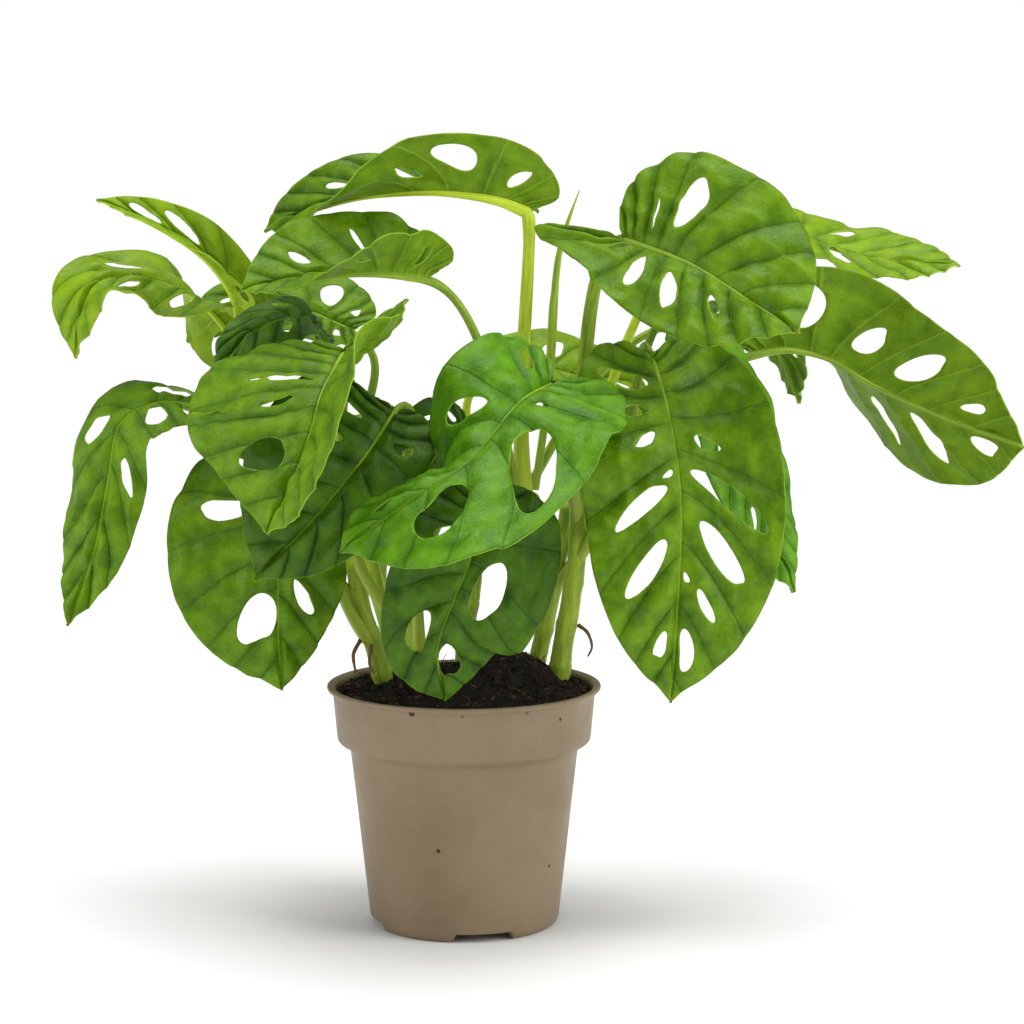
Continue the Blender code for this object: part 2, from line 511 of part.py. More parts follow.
def build_pot(finish):
    ledge_foot = POT_HEIGHT - BAND_HEIGHT - LEDGE_HEIGHT
    inner = WALL
    profile = [
        (0, FOOT_HEIGHT),
        (BODY_FOOT_RADIUS - 6, FOOT_HEIGHT),
        (BODY_FOOT_RADIUS - 4.5, 0),
        (BODY_FOOT_RADIUS - 2.2, 0),
        (BODY_FOOT_RADIUS - 0.4, 2.4),
        (BODY_FOOT_RADIUS, 6),
        (BODY_TOP_RADIUS, ledge_foot),
        (BAND_FOOT_RADIUS, ledge_foot + LEDGE_HEIGHT),
        (BAND_TOP_RADIUS, POT_HEIGHT - 3.0),
        (RIM_RADIUS, POT_HEIGHT - 1.6),
        (RIM_RADIUS, POT_HEIGHT),
        (RIM_RADIUS - 2.6, POT_HEIGHT),
        (BAND_TOP_RADIUS - inner, POT_HEIGHT - 2.6),
        (BAND_FOOT_RADIUS - inner, ledge_foot + LEDGE_HEIGHT),
        (BODY_TOP_RADIUS - inner, ledge_foot),
        (BODY_FOOT_RADIUS - inner, FOOT_HEIGHT + WALL),
        (0, FOOT_HEIGHT + WALL),
    ]
    pot = lathe("pot", profile, finish)
    for k in range(FOOT_COUNT):
        first = math.radians(FOOT_GAP_START_DEG + 90 * k - FOOT_GAP_DEG / 2)
        last = first + math.radians(FOOT_GAP_DEG)
        inside, outside = BODY_FOOT_RADIUS - 12, BODY_FOOT_RADIUS + 8
        corners = [(r * math.cos(a), r * math.sin(a)) for a, r in
                   ((first, inside), (first, outside), (last, outside), (last, inside))]
        points = [(x, y, z) for z in (-4, FOOT_HEIGHT - 0.6) for x, y in corners]
        faces = [(3, 2, 1, 0), (4, 5, 6, 7), (0, 1, 5, 4), (1, 2, 6, 5), (2, 3, 7, 6), (3, 0, 4, 7)]
        cut(pot, recalculate(add_object(f"foot_gap_{k + 1}", points, faces, finish)))
    for k in range(DRAIN_HOLES):
        angle = 2 * math.pi * k / DRAIN_HOLES
        centre = (DRAIN_CIRCLE * math.cos(angle), DRAIN_CIRCLE * math.sin(angle))
        line = [(*centre, FOOT_HEIGHT - 3), (*centre, FOOT_HEIGHT + WALL + 3)]
        cut(pot, tube(f"drain_{k + 1}", line, [DRAIN_RADIUS] * 2, 10, finish))
    return pot


def soil_height(x, y):
    """The soil's surface: a low mound with lumps, level with the wall at its edge."""
    reach = np.hypot(x, y) / (RIM_RADIUS - 4)
    lumps = np.sin(x * 0.21 + 1) * np.cos(y * 0.24) + 0.6 * np.sin(x * 0.43 - y * 0.37)
    away = np.hypot(x - MOUND_CENTRE[0], y - MOUND_CENTRE[1]) / MOUND_SPREAD
    rise = SOIL_DOME + MOUND_HEIGHT * np.exp(-(away**2)) + SOIL_LUMP * lumps
    return POT_HEIGHT - SOIL_EDGE_DROP + (1 - np.minimum(reach, 1) ** 2) * rise


def build_soil(finish):
    ledge_foot = POT_HEIGHT - BAND_HEIGHT - LEDGE_HEIGHT
    clear = WALL + GAP
    top_edge = POT_HEIGHT - SOIL_EDGE_DROP
    side = [
        (0, FOOT_HEIGHT + clear),
        (BODY_FOOT_RADIUS - clear - 0.3, FOOT_HEIGHT + clear),
        (BODY_TOP_RADIUS - clear, ledge_foot + 0.2),
        (BAND_FOOT_RADIUS - clear, ledge_foot + LEDGE_HEIGHT + 0.2),
        (BAND_TOP_RADIUS - clear - 0.2, top_edge),
    ]
    top = [(radius, top_edge + 1) for radius in (44, 32, 20, 9)] + [(0, top_edge + 1)]
    soil = lathe("soil", side + top, finish)
    for vertex in soil.data.vertices:
        if vertex.co.z > (top_edge + 0.5) * MM:
            vertex.co.z = soil_height(vertex.co.x / MM, vertex.co.y / MM) * MM
    return soil


def build_stems(finish, soil):
    stems = {}
    for stem in STEMS:
        line = smooth_line(stem.line, 10)
        share = np.linspace(0, 1, len(line))
        knuckle = 1 + 0.12 * np.cos(share * 14) ** 4
        radii = (stem.foot_radius + (stem.top_radius - stem.foot_radius) * share) * knuckle
        tube(stem.name, line, radii, 8, finish)
        stems[stem.name] = (line, radii)
        cut(soil, tube(stem.name + "_socket", line[:6], radii[:6] + GAP, 8, finish))
    return stems


def build_petiole(leaf, midrib, stems, finish):
    """A stalk that leaves its stem upwards and comes in under the blade's notch along the midrib."""
    stem_name, height, lean, foot_run, blade_run = leaf.stalk
    line, radii = stems[stem_name]
    point, forward, up, _ = midrib.at(np.array([0.0]))
    start = np.array([np.interp(height, line[:, 2], line[:, k]) for k in range(3)])
    rise = unit(np.array([np.interp(height, line[:, 2], np.gradient(line[:, k])) for k in range(3)]))
    end_radius = 1.5
    end = point[0] - up[0] * (end_radius + BLADE_THICKNESS / 2 + GAP) + forward[0] * 1.5
    first = start + unit(rise + np.array([*lean, 0.0])) * foot_run
    last = end - unit(forward[0] + 0.12 * up[0]) * blade_run
    t = np.linspace(0, 1, 13)[:, None]
    path = (1 - t) ** 3 * start + 3 * (1 - t) ** 2 * t * first + 3 * (1 - t) * t**2 * last + t**3 * end
    width = np.interp(t[:, 0], (0, 0.12, 0.5, 1), (2.6, 2.4, 1.9, end_radius))
    stalk = tube(leaf.name.replace("leaf", "petiole"), path, width, 6, finish)
    low = max(0, int(np.searchsorted(line[:, 2], height)) - 3)
    cut(stalk, tube(f"seat_{leaf.name}", line[low:], radii[low:] + GAP, 8, finish))
    return stalk


def build_shoots(green, brown):
    for name, points, widths in SHOOTS:
        line = smooth_line(points, 8)
        radii = np.interp(np.linspace(0, 1, 8), np.linspace(0, 1, len(widths)), widths)
        tube(name, line, radii, 6, green if name == "young_leaf" else brown)


def main():
    for obj in list(bpy.data.objects):
        bpy.data.objects.remove(obj)
    pot_plastic = material("pot_plastic", (0.33, 0.26, 0.19), 0.5)
    soil_mix = material("soil_mix", (0.03, 0.02, 0.014), 0.95)
    root_brown = material("root_brown", (0.16, 0.08, 0.035), 0.8)
    stem_green = material("stem_green", (0.30, 0.42, 0.08), 0.5)
    blade_green = material("blade_green", (0.13, 0.32, 0.03), 0.4)
    build_pot(pot_plastic)
    soil = build_soil(soil_mix)
    stems = build_stems(stem_green, soil)
    build_shoots(blade_green, root_brown)
    for leaf in LEAVES:
        points, faces, midrib = blade_mesh(leaf)
        blade = add_object(leaf.name, points, faces, blade_green)
        solid = blade.modifiers.new("thickness", "SOLIDIFY")
        solid.thickness = BLADE_THICKNESS * MM
        solid.offset = 0
        build_petiole(leaf, midrib, stems, stem_green)


main()
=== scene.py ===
# %% [markdown]
# # A potted monstera, from its frame to its finish
# The plant is a small monstera, whose leaves have windows between their veins. Several cuttings grow in one plastic
# nursery pot. The solids of the model are already packed as a frame, and this script builds the surfaces that are
# seen. Each one takes the place of a solid by name, so whatever handles the solid handles the surface too.

# %% Open the frame
import math
from collections import namedtuple

import bmesh
import bpy
import numpy as np
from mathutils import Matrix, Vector
from mathutils.geometry import delaunay_2d_cdt


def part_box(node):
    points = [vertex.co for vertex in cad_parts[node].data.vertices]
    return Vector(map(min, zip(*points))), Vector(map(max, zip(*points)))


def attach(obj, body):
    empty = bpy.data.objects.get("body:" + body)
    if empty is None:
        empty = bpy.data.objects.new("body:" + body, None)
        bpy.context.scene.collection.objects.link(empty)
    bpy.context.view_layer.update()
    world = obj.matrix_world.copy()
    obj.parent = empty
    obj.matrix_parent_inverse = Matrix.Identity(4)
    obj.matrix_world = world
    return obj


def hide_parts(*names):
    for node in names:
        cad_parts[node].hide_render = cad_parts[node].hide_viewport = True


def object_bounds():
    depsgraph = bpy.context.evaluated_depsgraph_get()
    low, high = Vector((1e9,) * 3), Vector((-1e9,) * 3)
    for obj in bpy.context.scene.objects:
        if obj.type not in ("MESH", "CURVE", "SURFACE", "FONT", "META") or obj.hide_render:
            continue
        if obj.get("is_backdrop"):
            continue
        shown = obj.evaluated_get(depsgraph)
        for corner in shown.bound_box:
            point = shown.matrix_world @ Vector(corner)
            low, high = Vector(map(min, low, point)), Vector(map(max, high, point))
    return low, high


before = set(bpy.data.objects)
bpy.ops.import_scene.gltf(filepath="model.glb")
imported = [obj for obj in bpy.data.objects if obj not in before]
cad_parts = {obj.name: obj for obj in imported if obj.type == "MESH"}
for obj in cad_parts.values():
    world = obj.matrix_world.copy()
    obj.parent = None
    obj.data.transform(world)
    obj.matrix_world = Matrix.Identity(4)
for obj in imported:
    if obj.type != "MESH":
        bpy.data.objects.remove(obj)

cad_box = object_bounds()
MM = 0.001  # every length below is in millimetres, and each mesh is made in metres
print("the solids' box:", [[round(v / MM) for v in corner] for corner in cad_box])

# %% [markdown]
# ## Surfaces from grids
# A grid of points is the plainest surface: rows one way, columns the other, and a face between each four neighbours.
# A pot, a stalk and a blade are all such grids, and only the formula for the points differs. The formula works on
# the whole array at once, which is short to write and fast. Where all the points of a row fall on one place, as at
# a pole, they are merged, so the surface stays closed.

# %% From points to a mesh


def unit(v):
    """Each vector divided by its own length."""
    return v / np.maximum(np.linalg.norm(v, axis=-1, keepdims=True), 1e-9)


def run_along(line):
    """The length of a line from its start to each of its points."""
    return np.concatenate([[0], np.cumsum(np.linalg.norm(np.diff(line, axis=0), axis=1))])


def smooth_line(points, count):
    """count points along a Catmull-Rom spline, evenly spaced: each span is the cubic that leaves and meets its ends
    in the direction of the neighbours on either side."""
    p = np.array(points, float)
    p = np.vstack([2 * p[0] - p[1], p, 2 * p[-1] - p[-2]])
    t = np.linspace(0, 1, 24, endpoint=False)[:, None]
    spans = [
        0.5 * (2 * b + (c - a) * t + (2 * a - 5 * b + 4 * c - d) * t**2 + (3 * b - a - 3 * c + d) * t**3)
        for a, b, c, d in zip(p, p[1:], p[2:], p[3:])
    ]
    line = np.vstack([*spans, p[-2][None]])
    run = run_along(line)
    even = np.linspace(0, run[-1], count)
    return np.stack([np.interp(even, run, line[:, k]) for k in range(line.shape[1])], 1)


def ring_faces(rows, columns):
    """The four corners of every cell of a grid whose last column meets the first, as numbers of points."""
    row, column = np.meshgrid(np.arange(rows - 1), np.arange(columns), indexing="ij")
    corner_rows = np.stack([row, row, row + 1, row + 1], -1).reshape(-1, 4)
    corner_columns = np.stack([column, column + 1, column + 1, column], -1).reshape(-1, 4)
    return corner_rows * columns + corner_columns % columns


def copied_faces(faces, copies, points_each):
    """The same faces for each of many copies, whose points follow one another."""
    return (faces[None] + (np.arange(copies) * points_each)[:, None, None]).reshape(-1, faces.shape[1])


def add_object(name, data):
    """An object in the scene."""
    thing = bpy.data.objects.new(name, data)
    bpy.context.scene.collection.objects.link(thing)
    return thing


def merge_points(mesh):
    """Joins points that lie on one place, and drops points without a face."""
    work = bmesh.new()
    work.from_mesh(mesh)
    bmesh.ops.remove_doubles(work, verts=work.verts, dist=1e-7)
    bmesh.ops.delete(work, geom=[v for v in work.verts if not v.link_faces], context="VERTS")
    work.to_mesh(mesh)
    work.free()


def add_piece(name, points, faces, finishes, nodes, fields=None, sheet=None):
    """A mesh object from points and faces. fields are values kept at each point for the materials to read, and
    sheet is (thickness, side) where a single surface is to become a closed sheet."""
    mesh = bpy.data.meshes.new(name)
    mesh.from_pydata((points.reshape(-1, 3) * MM).tolist(), [], faces.tolist())
    for label, values in (fields or {}).items():
        vector = values.ndim > 1 and values.shape[-1] == 3
        layer = mesh.attributes.new(label, "FLOAT_VECTOR" if vector else "FLOAT", "POINT")
        layer.data.foreach_set("vector" if vector else "value", values.astype(np.float32).ravel())
    merge_points(mesh)
    mesh.shade_smooth()
    for finish in finishes:
        mesh.materials.append(finish)
    piece = add_object(name, mesh)
    if sheet:
        solid = piece.modifiers.new("sheet thickness", "SOLIDIFY")
        solid.thickness, solid.offset = sheet[0] * MM, sheet[1]
        solid.use_quality_normals = True
        solid.material_offset = min(1, len(finishes) - 1)
        solid.material_offset_rim = min(2, len(finishes) - 1)
    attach(piece, "root")
    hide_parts(*nodes)
    return piece


def noise(points, size, seed):
    """Smooth random bumps from -1 to 1: a random number at each corner of a lattice of this size, eased from corner
    to corner."""
    place = points / size
    cell = np.floor(place).astype(np.int64)
    share = place - cell
    share = share * share * (3 - 2 * share)
    total = np.zeros(points.shape[:-1])
    for step in np.ndindex(2, 2, 2):
        x, y, z = np.moveaxis(cell + step, -1, 0)
        mixed = (x * 73856093) ^ (y * 19349663) ^ (z * 83492791) ^ (seed * 668265263)
        mixed = ((mixed ^ (mixed >> 13)) * 1274126177) & 0xFFFFFF
        weight = np.prod(np.where(np.array(step) == 1, share, 1 - share), axis=-1)
        total += weight * (mixed / 0x7FFFFF - 1)
    return total


def ease(low, high, value):
    """0 below low, 1 above high, and a smooth step between."""
    t = np.clip((value - low) / (high - low), 0, 1)
    return t * t * (3 - 2 * t)


# %% [markdown]
# ## Shared effects for the finishes
# Living things and used things are never one colour. Two effects come back in several finishes, so each is made
# once, as a node group: clouds that drift between two colours, which become streaks on a stalk, and specks of dirt.
# A group only hands out colours and masks. Each material keeps its own Principled BSDF, with its plain numbers.

# %% Node helpers


def new_group(name, inputs, outputs):
    """An empty node group with named sockets, and its two end nodes."""
    group = bpy.data.node_groups.new(name, "ShaderNodeTree")
    for label, kind, value in inputs:
        socket = group.interface.new_socket(label, in_out="INPUT", socket_type="NodeSocket" + kind)
        if value is not None:
            socket.default_value = value
    for label, kind in outputs:
        group.interface.new_socket(label, in_out="OUTPUT", socket_type="NodeSocket" + kind)
    return group, group.nodes.new("NodeGroupInput"), group.nodes.new("NodeGroupOutput")


def feed(tree, socket, value):
    """Joins a socket to another one, or sets it to a plain value."""
    if isinstance(value, bpy.types.NodeSocket):
        tree.links.new(value, socket)
    else:
        socket.default_value = value


def calc(tree, operation, a, b=0.0):
    """One step of arithmetic."""
    step = tree.nodes.new("ShaderNodeMath")
    step.operation = operation
    feed(tree, step.inputs[0], a)
    feed(tree, step.inputs[1], b)
    return step.outputs[0]


def blend_colours(tree, share, a, b):
    """Colour a where share is 0 and colour b where it is 1."""
    step = tree.nodes.new("ShaderNodeMix")
    step.data_type = "RGBA"
    feed(tree, step.inputs["Factor"], share)
    feed(tree, step.inputs["A"], a)
    feed(tree, step.inputs["B"], b)
    return step.outputs["Result"]


def remap(tree, value, low, high, start=0.0, end=1.0):
    """value, moved smoothly from the range low..high to the range start..end."""
    step = tree.nodes.new("ShaderNodeMapRange")
    step.interpolation_type = "SMOOTHSTEP"
    feed(tree, step.inputs["Value"], value)
    for label, number in (("From Min", low), ("From Max", high), ("To Min", start), ("To Max", end)):
        feed(tree, step.inputs[label], number)
    return step.outputs["Result"]


def clouds(tree, place, scale, detail=3.0, roughness=0.5):
    """Cloudy noise at a place, from 0 to 1."""
    step = tree.nodes.new("ShaderNodeTexNoise")
    feed(tree, step.inputs["Vector"], place)
    feed(tree, step.inputs["Scale"], scale)
    step.inputs["Detail"].default_value = detail
    step.inputs["Roughness"].default_value = roughness
    return step.outputs["Fac"]


def field(tree, label, socket="Fac"):
    """A value that the mesh keeps at each point."""
    step = tree.nodes.new("ShaderNodeAttribute")
    step.attribute_name = label
    return step.outputs[socket]


def use_group(tree, group, **values):
    """A group placed in a tree, with its inputs set or joined."""
    step = tree.nodes.new("ShaderNodeGroup")
    step.node_tree = group
    for label, value in values.items():
        feed(tree, step.inputs[label.replace("_", " ")], value)
    return step.outputs


def object_place(tree):
    """The place in the piece's own space, in metres."""
    return tree.nodes.new("ShaderNodeTexCoord").outputs["Object"]


def new_finish(name, roughness, **numbers):
    """A material with its Principled BSDF. Plain numbers go straight on the shader's own sockets."""
    finish = bpy.data.materials.new(name)
    finish.use_nodes = True
    shader = finish.node_tree.nodes["Principled BSDF"]
    shader.inputs["Roughness"].default_value = roughness
    for label, value in numbers.items():
        shader.inputs[label.replace("_", " ")].default_value = value
    return finish, finish.node_tree, shader


def add_bump(tree, shader, height, strength, depth_mm):
    """Fine relief, too small for the mesh."""
    bump = tree.nodes.new("ShaderNodeBump")
    bump.inputs["Strength"].default_value = strength
    bump.inputs["Distance"].default_value = depth_mm * MM
    feed(tree, bump.inputs["Height"], height)
    tree.links.new(bump.outputs["Normal"], shader.inputs["Normal"])


# %% Clouds between two colours

mottle, start, end = new_group(
    "mottling",
    [("Place", "Vector", None), ("Scale", "Float", 1.0),
     ("Dark", "Color", (0, 0, 0, 1)), ("Light", "Color", (1, 1, 1, 1))],
    [("Colour", "Color"), ("Mask", "Float")],
)
broad = clouds(mottle, start.outputs["Place"], start.outputs["Scale"], 2.0)
fine = clouds(mottle, start.outputs["Place"], calc(mottle, "MULTIPLY", start.outputs["Scale"], 7.0), 3.0, 0.6)
mixed = calc(mottle, "ADD", calc(mottle, "MULTIPLY", broad, 0.75), calc(mottle, "MULTIPLY", fine, 0.25))
mask = remap(mottle, mixed, 0.36, 0.64)
feed(mottle, end.inputs["Mask"], mask)
feed(mottle, end.inputs["Colour"], blend_colours(mottle, mask, start.outputs["Dark"], start.outputs["Light"]))

# %% Specks of dirt

specks, start, end = new_group(
    "specks",
    [("Place", "Vector", None), ("Scale", "Float", 100.0), ("Share", "Float", 0.1)],
    [("Mask", "Float")],
)
dots = specks.nodes.new("ShaderNodeTexVoronoi")
feed(specks, dots.inputs["Vector"], start.outputs["Place"])
feed(specks, dots.inputs["Scale"], start.outputs["Scale"])
chosen = specks.nodes.new("ShaderNodeSeparateColor")
feed(specks, chosen.inputs["Color"], dots.outputs["Color"])
is_chosen = calc(specks, "LESS_THAN", chosen.outputs["Red"], start.outputs["Share"])
size = calc(specks, "MULTIPLY_ADD", chosen.outputs["Green"], 0.22)
size.node.inputs[2].default_value = 0.08
near = calc(specks, "LESS_THAN", dots.outputs["Distance"], size)
feed(specks, end.inputs["Mask"], calc(specks, "MULTIPLY", is_chosen, near))
print("node groups:", [g.name for g in bpy.data.node_groups])

# %% [markdown]
# ## The pot
# A nursery pot is one thin sheet of plastic, drawn into a mould. It has a rolled lip, a deep band that gives a grip, a
# ledge that lets pots stack without jamming, a tapered wall, and a foot ring with gaps that let water out. It could
# be a stack of cylinders, but its edges are all rounded. So it is one outline carried round an axis, with the
# foot ring lifted where the gaps are, and the drain holes are cut last.

# %% The pot's outline, from the middle of its underside to the middle of its floor
POT_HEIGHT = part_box("pot")[1].z / MM
FOOT_HEIGHT = 4.5
POT_OUTLINE = [
    (0, 4.5), (14, 4.5), (30, 4.5), (35.0, 4.4), (36.3, 3.4), (36.9, 1.2), (37.6, 0.1), (38.6, 0.0), (39.7, 0.15),
    (40.9, 1.2), (41.6, 3.2), (41.95, 6.0), (42.5, 11.5), (45.9, 42.0), (49.6, 75.2), (49.95, 77.3), (50.5, 78.4),
    (52.6, 79.9), (54.9, 81.3), (55.55, 82.5), (55.75, 84.5), (56.6, 94.0), (57.35, 102.4), (57.7, 103.3),
    (58.6, 103.7), (59.6, 104.0), (59.97, 104.7), (59.85, 105.6), (59.3, 105.95), (58.4, 105.95), (57.0, 105.5),
    (56.3, 104.6), (56.0, 103.0), (55.3, 94.0), (54.4, 83.6), (53.9, 82.6), (51.6, 81.0), (49.2, 79.3), (48.6, 77.4),
    (44.6, 42.0), (40.7, 8.0), (40.2, 6.6), (39.2, 5.9), (30, 5.8), (14, 5.8), (0, 5.8),
]
FOOT_GAPS = 4
FOOT_GAP_DEG = 38.0
FIRST_GAP_DEG = -77.0
DRAIN_HOLES, DRAIN_RADIUS, DRAIN_CIRCLE = 6, 4.0, 25.0
DRILL_SIDES = 32
POT_COLUMNS = 256


def round_outline(outline, columns):
    """Each point of the outline turned round the Z axis: x = r cos a, y = r sin a, z = z."""
    angle = np.linspace(0, 2 * np.pi, columns, endpoint=False)
    r, z = np.array(outline, float).T
    return np.stack([r[:, None] * np.cos(angle), r[:, None] * np.sin(angle), z[:, None] + 0 * angle], -1)


def rounded(outline, passes=2):
    """The outline with its corners cut at a fifth of each edge, again and again, which turns them into curves."""
    line = np.array(outline, float)
    for _ in range(passes):
        a, b = line[:-1], line[1:]
        cut = np.stack([a * 0.8 + b * 0.2, a * 0.2 + b * 0.8], 1).reshape(-1, 2)
        line = np.vstack([line[:1], cut, line[-1:]])
    return line


def pot_points():
    """The turned outline. Low points rise to the height of a gap where their angle lies in one, and the wall leaves
    the true circle by a hair."""
    points = round_outline(rounded(POT_OUTLINE), POT_COLUMNS)
    angle = np.degrees(np.arctan2(points[..., 1], points[..., 0]))
    from_gap = np.abs((angle - FIRST_GAP_DEG + 45) % (360 / FOOT_GAPS) - 45)
    in_gap = 1 - ease(FOOT_GAP_DEG / 2 - 2.2, FOOT_GAP_DEG / 2 + 1.2, from_gap)
    radius = np.hypot(points[..., 0], points[..., 1])
    lifted = np.maximum(points[..., 2], (FOOT_HEIGHT - 0.6) * in_gap)
    points[..., 2] = np.where((points[..., 2] < FOOT_HEIGHT) & (radius > 35), lifted, points[..., 2])
    swell = 1 + 0.0022 * noise(points * (1, 1, 0.4), 46, 3) * ease(20, 40, radius)
    points[..., :2] *= swell[..., None]
    return points


# %% [markdown]
# ### Its plastic
# Taupe plastic with a dull sheen. The sheet is never quite even, so the colour drifts, and the sheen with it. Potting
# leaves dust under the lip and specks of soil, thicker near the rim.

# %% The pot's finish
TAUPE_DARK, TAUPE_LIGHT = (0.222, 0.162, 0.094, 1), (0.262, 0.195, 0.118, 1)
DUST_COLOUR, DIRT_COLOUR = (0.12, 0.085, 0.05, 1), (0.05, 0.028, 0.012, 1)
RIM_FOOT, RIM_TOP = 0.070, 0.104  # the heights in metres between which dust and dirt thicken
pot_finish, tree, shader = new_finish("taupe plastic", 0.5, Specular_IOR_Level=0.3)
place = object_place(tree)
height = tree.nodes.new("ShaderNodeSeparateXYZ")
feed(tree, height.inputs[0], place)
near_rim = remap(tree, height.outputs["Z"], RIM_FOOT, RIM_TOP)
clouded = use_group(tree, mottle, Place=place, Scale=22.0, Dark=TAUPE_DARK, Light=TAUPE_LIGHT)
few = use_group(tree, specks, Place=place, Scale=190.0, Share=0.016)["Mask"]
many = use_group(tree, specks, Place=place, Scale=260.0, Share=0.1)["Mask"]
patches = remap(tree, clouds(tree, place, 40.0, 2.0), 0.5, 0.66)
rim_dirt = calc(tree, "MULTIPLY", calc(tree, "MULTIPLY", many, near_rim), patches)
dirt = calc(tree, "MAXIMUM", few, rim_dirt)
dust_clouds = remap(tree, clouds(tree, place, 60.0, 5.0, 0.7), 0.5, 0.8)
dust = calc(tree, "MULTIPLY", dust_clouds, calc(tree, "MULTIPLY", near_rim, 0.35))
colour = blend_colours(tree, dust, clouded["Colour"], DUST_COLOUR)
feed(tree, shader.inputs["Base Color"], blend_colours(tree, dirt, colour, DIRT_COLOUR))
sheen = remap(tree, clouds(tree, place, 90.0, 4.0, 0.6), 0.3, 0.7, 0.40, 0.54)
feed(tree, shader.inputs["Roughness"], calc(tree, "ADD", sheen, calc(tree, "MULTIPLY", dirt, 0.4)))
grain = calc(tree, "ADD", clouds(tree, place, 900.0, 2.0), calc(tree, "MULTIPLY", dirt, 1.5))
add_bump(tree, shader, grain, 0.12, 0.3)

# %% Make the pot and drill it
points = pot_points()
faces = ring_faces(*points.shape[:2])
pot = add_piece("nursery_pot", points, faces, [pot_finish], ["pot"])

drill_outline = [(0, 2), (DRAIN_RADIUS, 2), (DRAIN_RADIUS, 9), (0, 9)]
drill = round_outline(drill_outline, DRILL_SIDES)
spots = np.arange(DRAIN_HOLES) * 2 * np.pi / DRAIN_HOLES
offsets = DRAIN_CIRCLE * np.stack([np.cos(spots), np.sin(spots), 0 * spots], 1)
drills = (drill[None] + offsets[:, None, None]).reshape(-1, 3)
drill_faces = copied_faces(ring_faces(*drill.shape[:2]), DRAIN_HOLES, drill.shape[0] * DRILL_SIDES)
cutter_mesh = bpy.data.meshes.new("drills")
cutter_mesh.from_pydata((drills * MM).tolist(), [], drill_faces.tolist())
merge_points(cutter_mesh)
cutter = add_object("drills", cutter_mesh)
drilling = pot.modifiers.new("drain holes", "BOOLEAN")
drilling.operation, drilling.solver, drilling.object = "DIFFERENCE", "EXACT", cutter
bpy.context.view_layer.update()
drilled = bpy.data.meshes.new_from_object(pot.evaluated_get(bpy.context.evaluated_depsgraph_get()))
pot.modifiers.clear()
pot.data = drilled
drilled.name = "nursery_pot"
bpy.data.objects.remove(cutter)
print("pot:", len(drilled.polygons), "faces, height", round(POT_HEIGHT), "mm")

# %% [markdown]
# ## The soil
# Potting mix is peat, bark and fibre. Seen close, it has three sizes of detail: the heap that was pressed round the
# stems, lumps of a few millimetres, and loose crumbs and fibres on top. The heap and the lumps are one turned
# surface, raised by a formula. Crumbs are far too many to model one by one, so one small stone of twenty faces is
# turned, squashed and dropped on the surface in many places, by array arithmetic.

# %% The heap
SOIL_EDGE = POT_HEIGHT - 3.0
SOIL_REACH = 56.0
SOIL_COLUMNS = 300
SOIL_DOME = 7.0
MOUND_CENTRE = (24.0, 16.0)
MOUND_HEIGHT = 13.0
MOUND_SPREAD = 22.0
SOIL_OUTLINE = [(0, 6.2), (20, 6.2), (39.5, 6.2), (44.0, 42.0), (48.0, 77.0), (53.6, 83.2), (55.2, 100.0)]


def soil_height(x, y):
    """The wall's soil line, plus a low dome, plus a heap that falls off as a bell curve, plus two sets of ripples,
    all fading to nothing at the wall."""
    reach = np.hypot(x, y) / SOIL_REACH
    ripples = np.sin(x * 0.21 + 1) * np.cos(y * 0.24) + 0.6 * np.sin(x * 0.43 - y * 0.37)
    away = np.hypot(x - MOUND_CENTRE[0], y - MOUND_CENTRE[1]) / MOUND_SPREAD
    rise = SOIL_DOME + MOUND_HEIGHT * np.exp(-(away**2)) + 1.4 * ripples
    return SOIL_EDGE + (1 - np.minimum(reach, 1) ** 2) * rise


def soil_lumps(points):
    """Lumps of three sizes, each the noise of that size. The largest noise is folded at nought, which makes creases
    between round lumps."""
    flat = points * (1, 1, 0)
    lumps = 1.5 * np.abs(noise(flat, 7.5, 5)) + 0.9 * noise(flat, 3.4, 6) + 0.55 * noise(flat, 1.7, 7)
    return lumps - 0.7


angle = np.linspace(0, 2 * np.pi, SOIL_COLUMNS, endpoint=False)
radius = np.linspace(55.4, 0, 110)[:, None]
top = np.stack([radius * np.cos(angle), radius * np.sin(angle), 0 * radius * angle], -1)
top[..., 2] = soil_height(top[..., 0], top[..., 1]) + soil_lumps(top) * (1 - 0.5 * (radius / SOIL_REACH) ** 6)
points = np.concatenate([round_outline(SOIL_OUTLINE, SOIL_COLUMNS), top])

# %% The soil's finish
PEAT_DARK, PEAT_LIGHT = (0.003, 0.002, 0.0015, 1), (0.013, 0.008, 0.0045, 1)
BARK_COLOUR = (0.13, 0.06, 0.022, 1)
soil_finish, tree, shader = new_finish("potting mix", 0.95, Specular_IOR_Level=0.25)
place = object_place(tree)
tone = field(tree, "tone")
clouded = use_group(tree, mottle, Place=place, Scale=160.0, Dark=PEAT_DARK, Light=PEAT_LIGHT)
rusty = remap(tree, tone, 0.72, 1.0)
feed(tree, shader.inputs["Base Color"], blend_colours(tree, rusty, clouded["Colour"], BARK_COLOUR))
feed(tree, shader.inputs["Roughness"], remap(tree, clouded["Mask"], 0.0, 1.0, 0.8, 1.0))
add_bump(tree, shader, clouds(tree, place, 1400.0, 5.0, 0.75), 0.8, 0.6)

fields = {"tone": 0.5 + 0.5 * noise(points, 2.6, 9)}
faces = ring_faces(*points.shape[:2])
add_piece("potting_soil", points, faces, [soil_finish], ["soil"], fields)
print("soil: heap rises to", round(points[..., 2].max(), 1), "mm")

# %% [markdown]
# ### Crumbs and fibres
# A crumb is an icosahedron, twelve corners and twenty faces. Its corners are pushed in and out at random, and then
# every crumb is a copy with its own turn, stretch and size. A fibre is a bent needle with three sides.

# %% Scatter the crumbs
draw = np.random.default_rng(12)


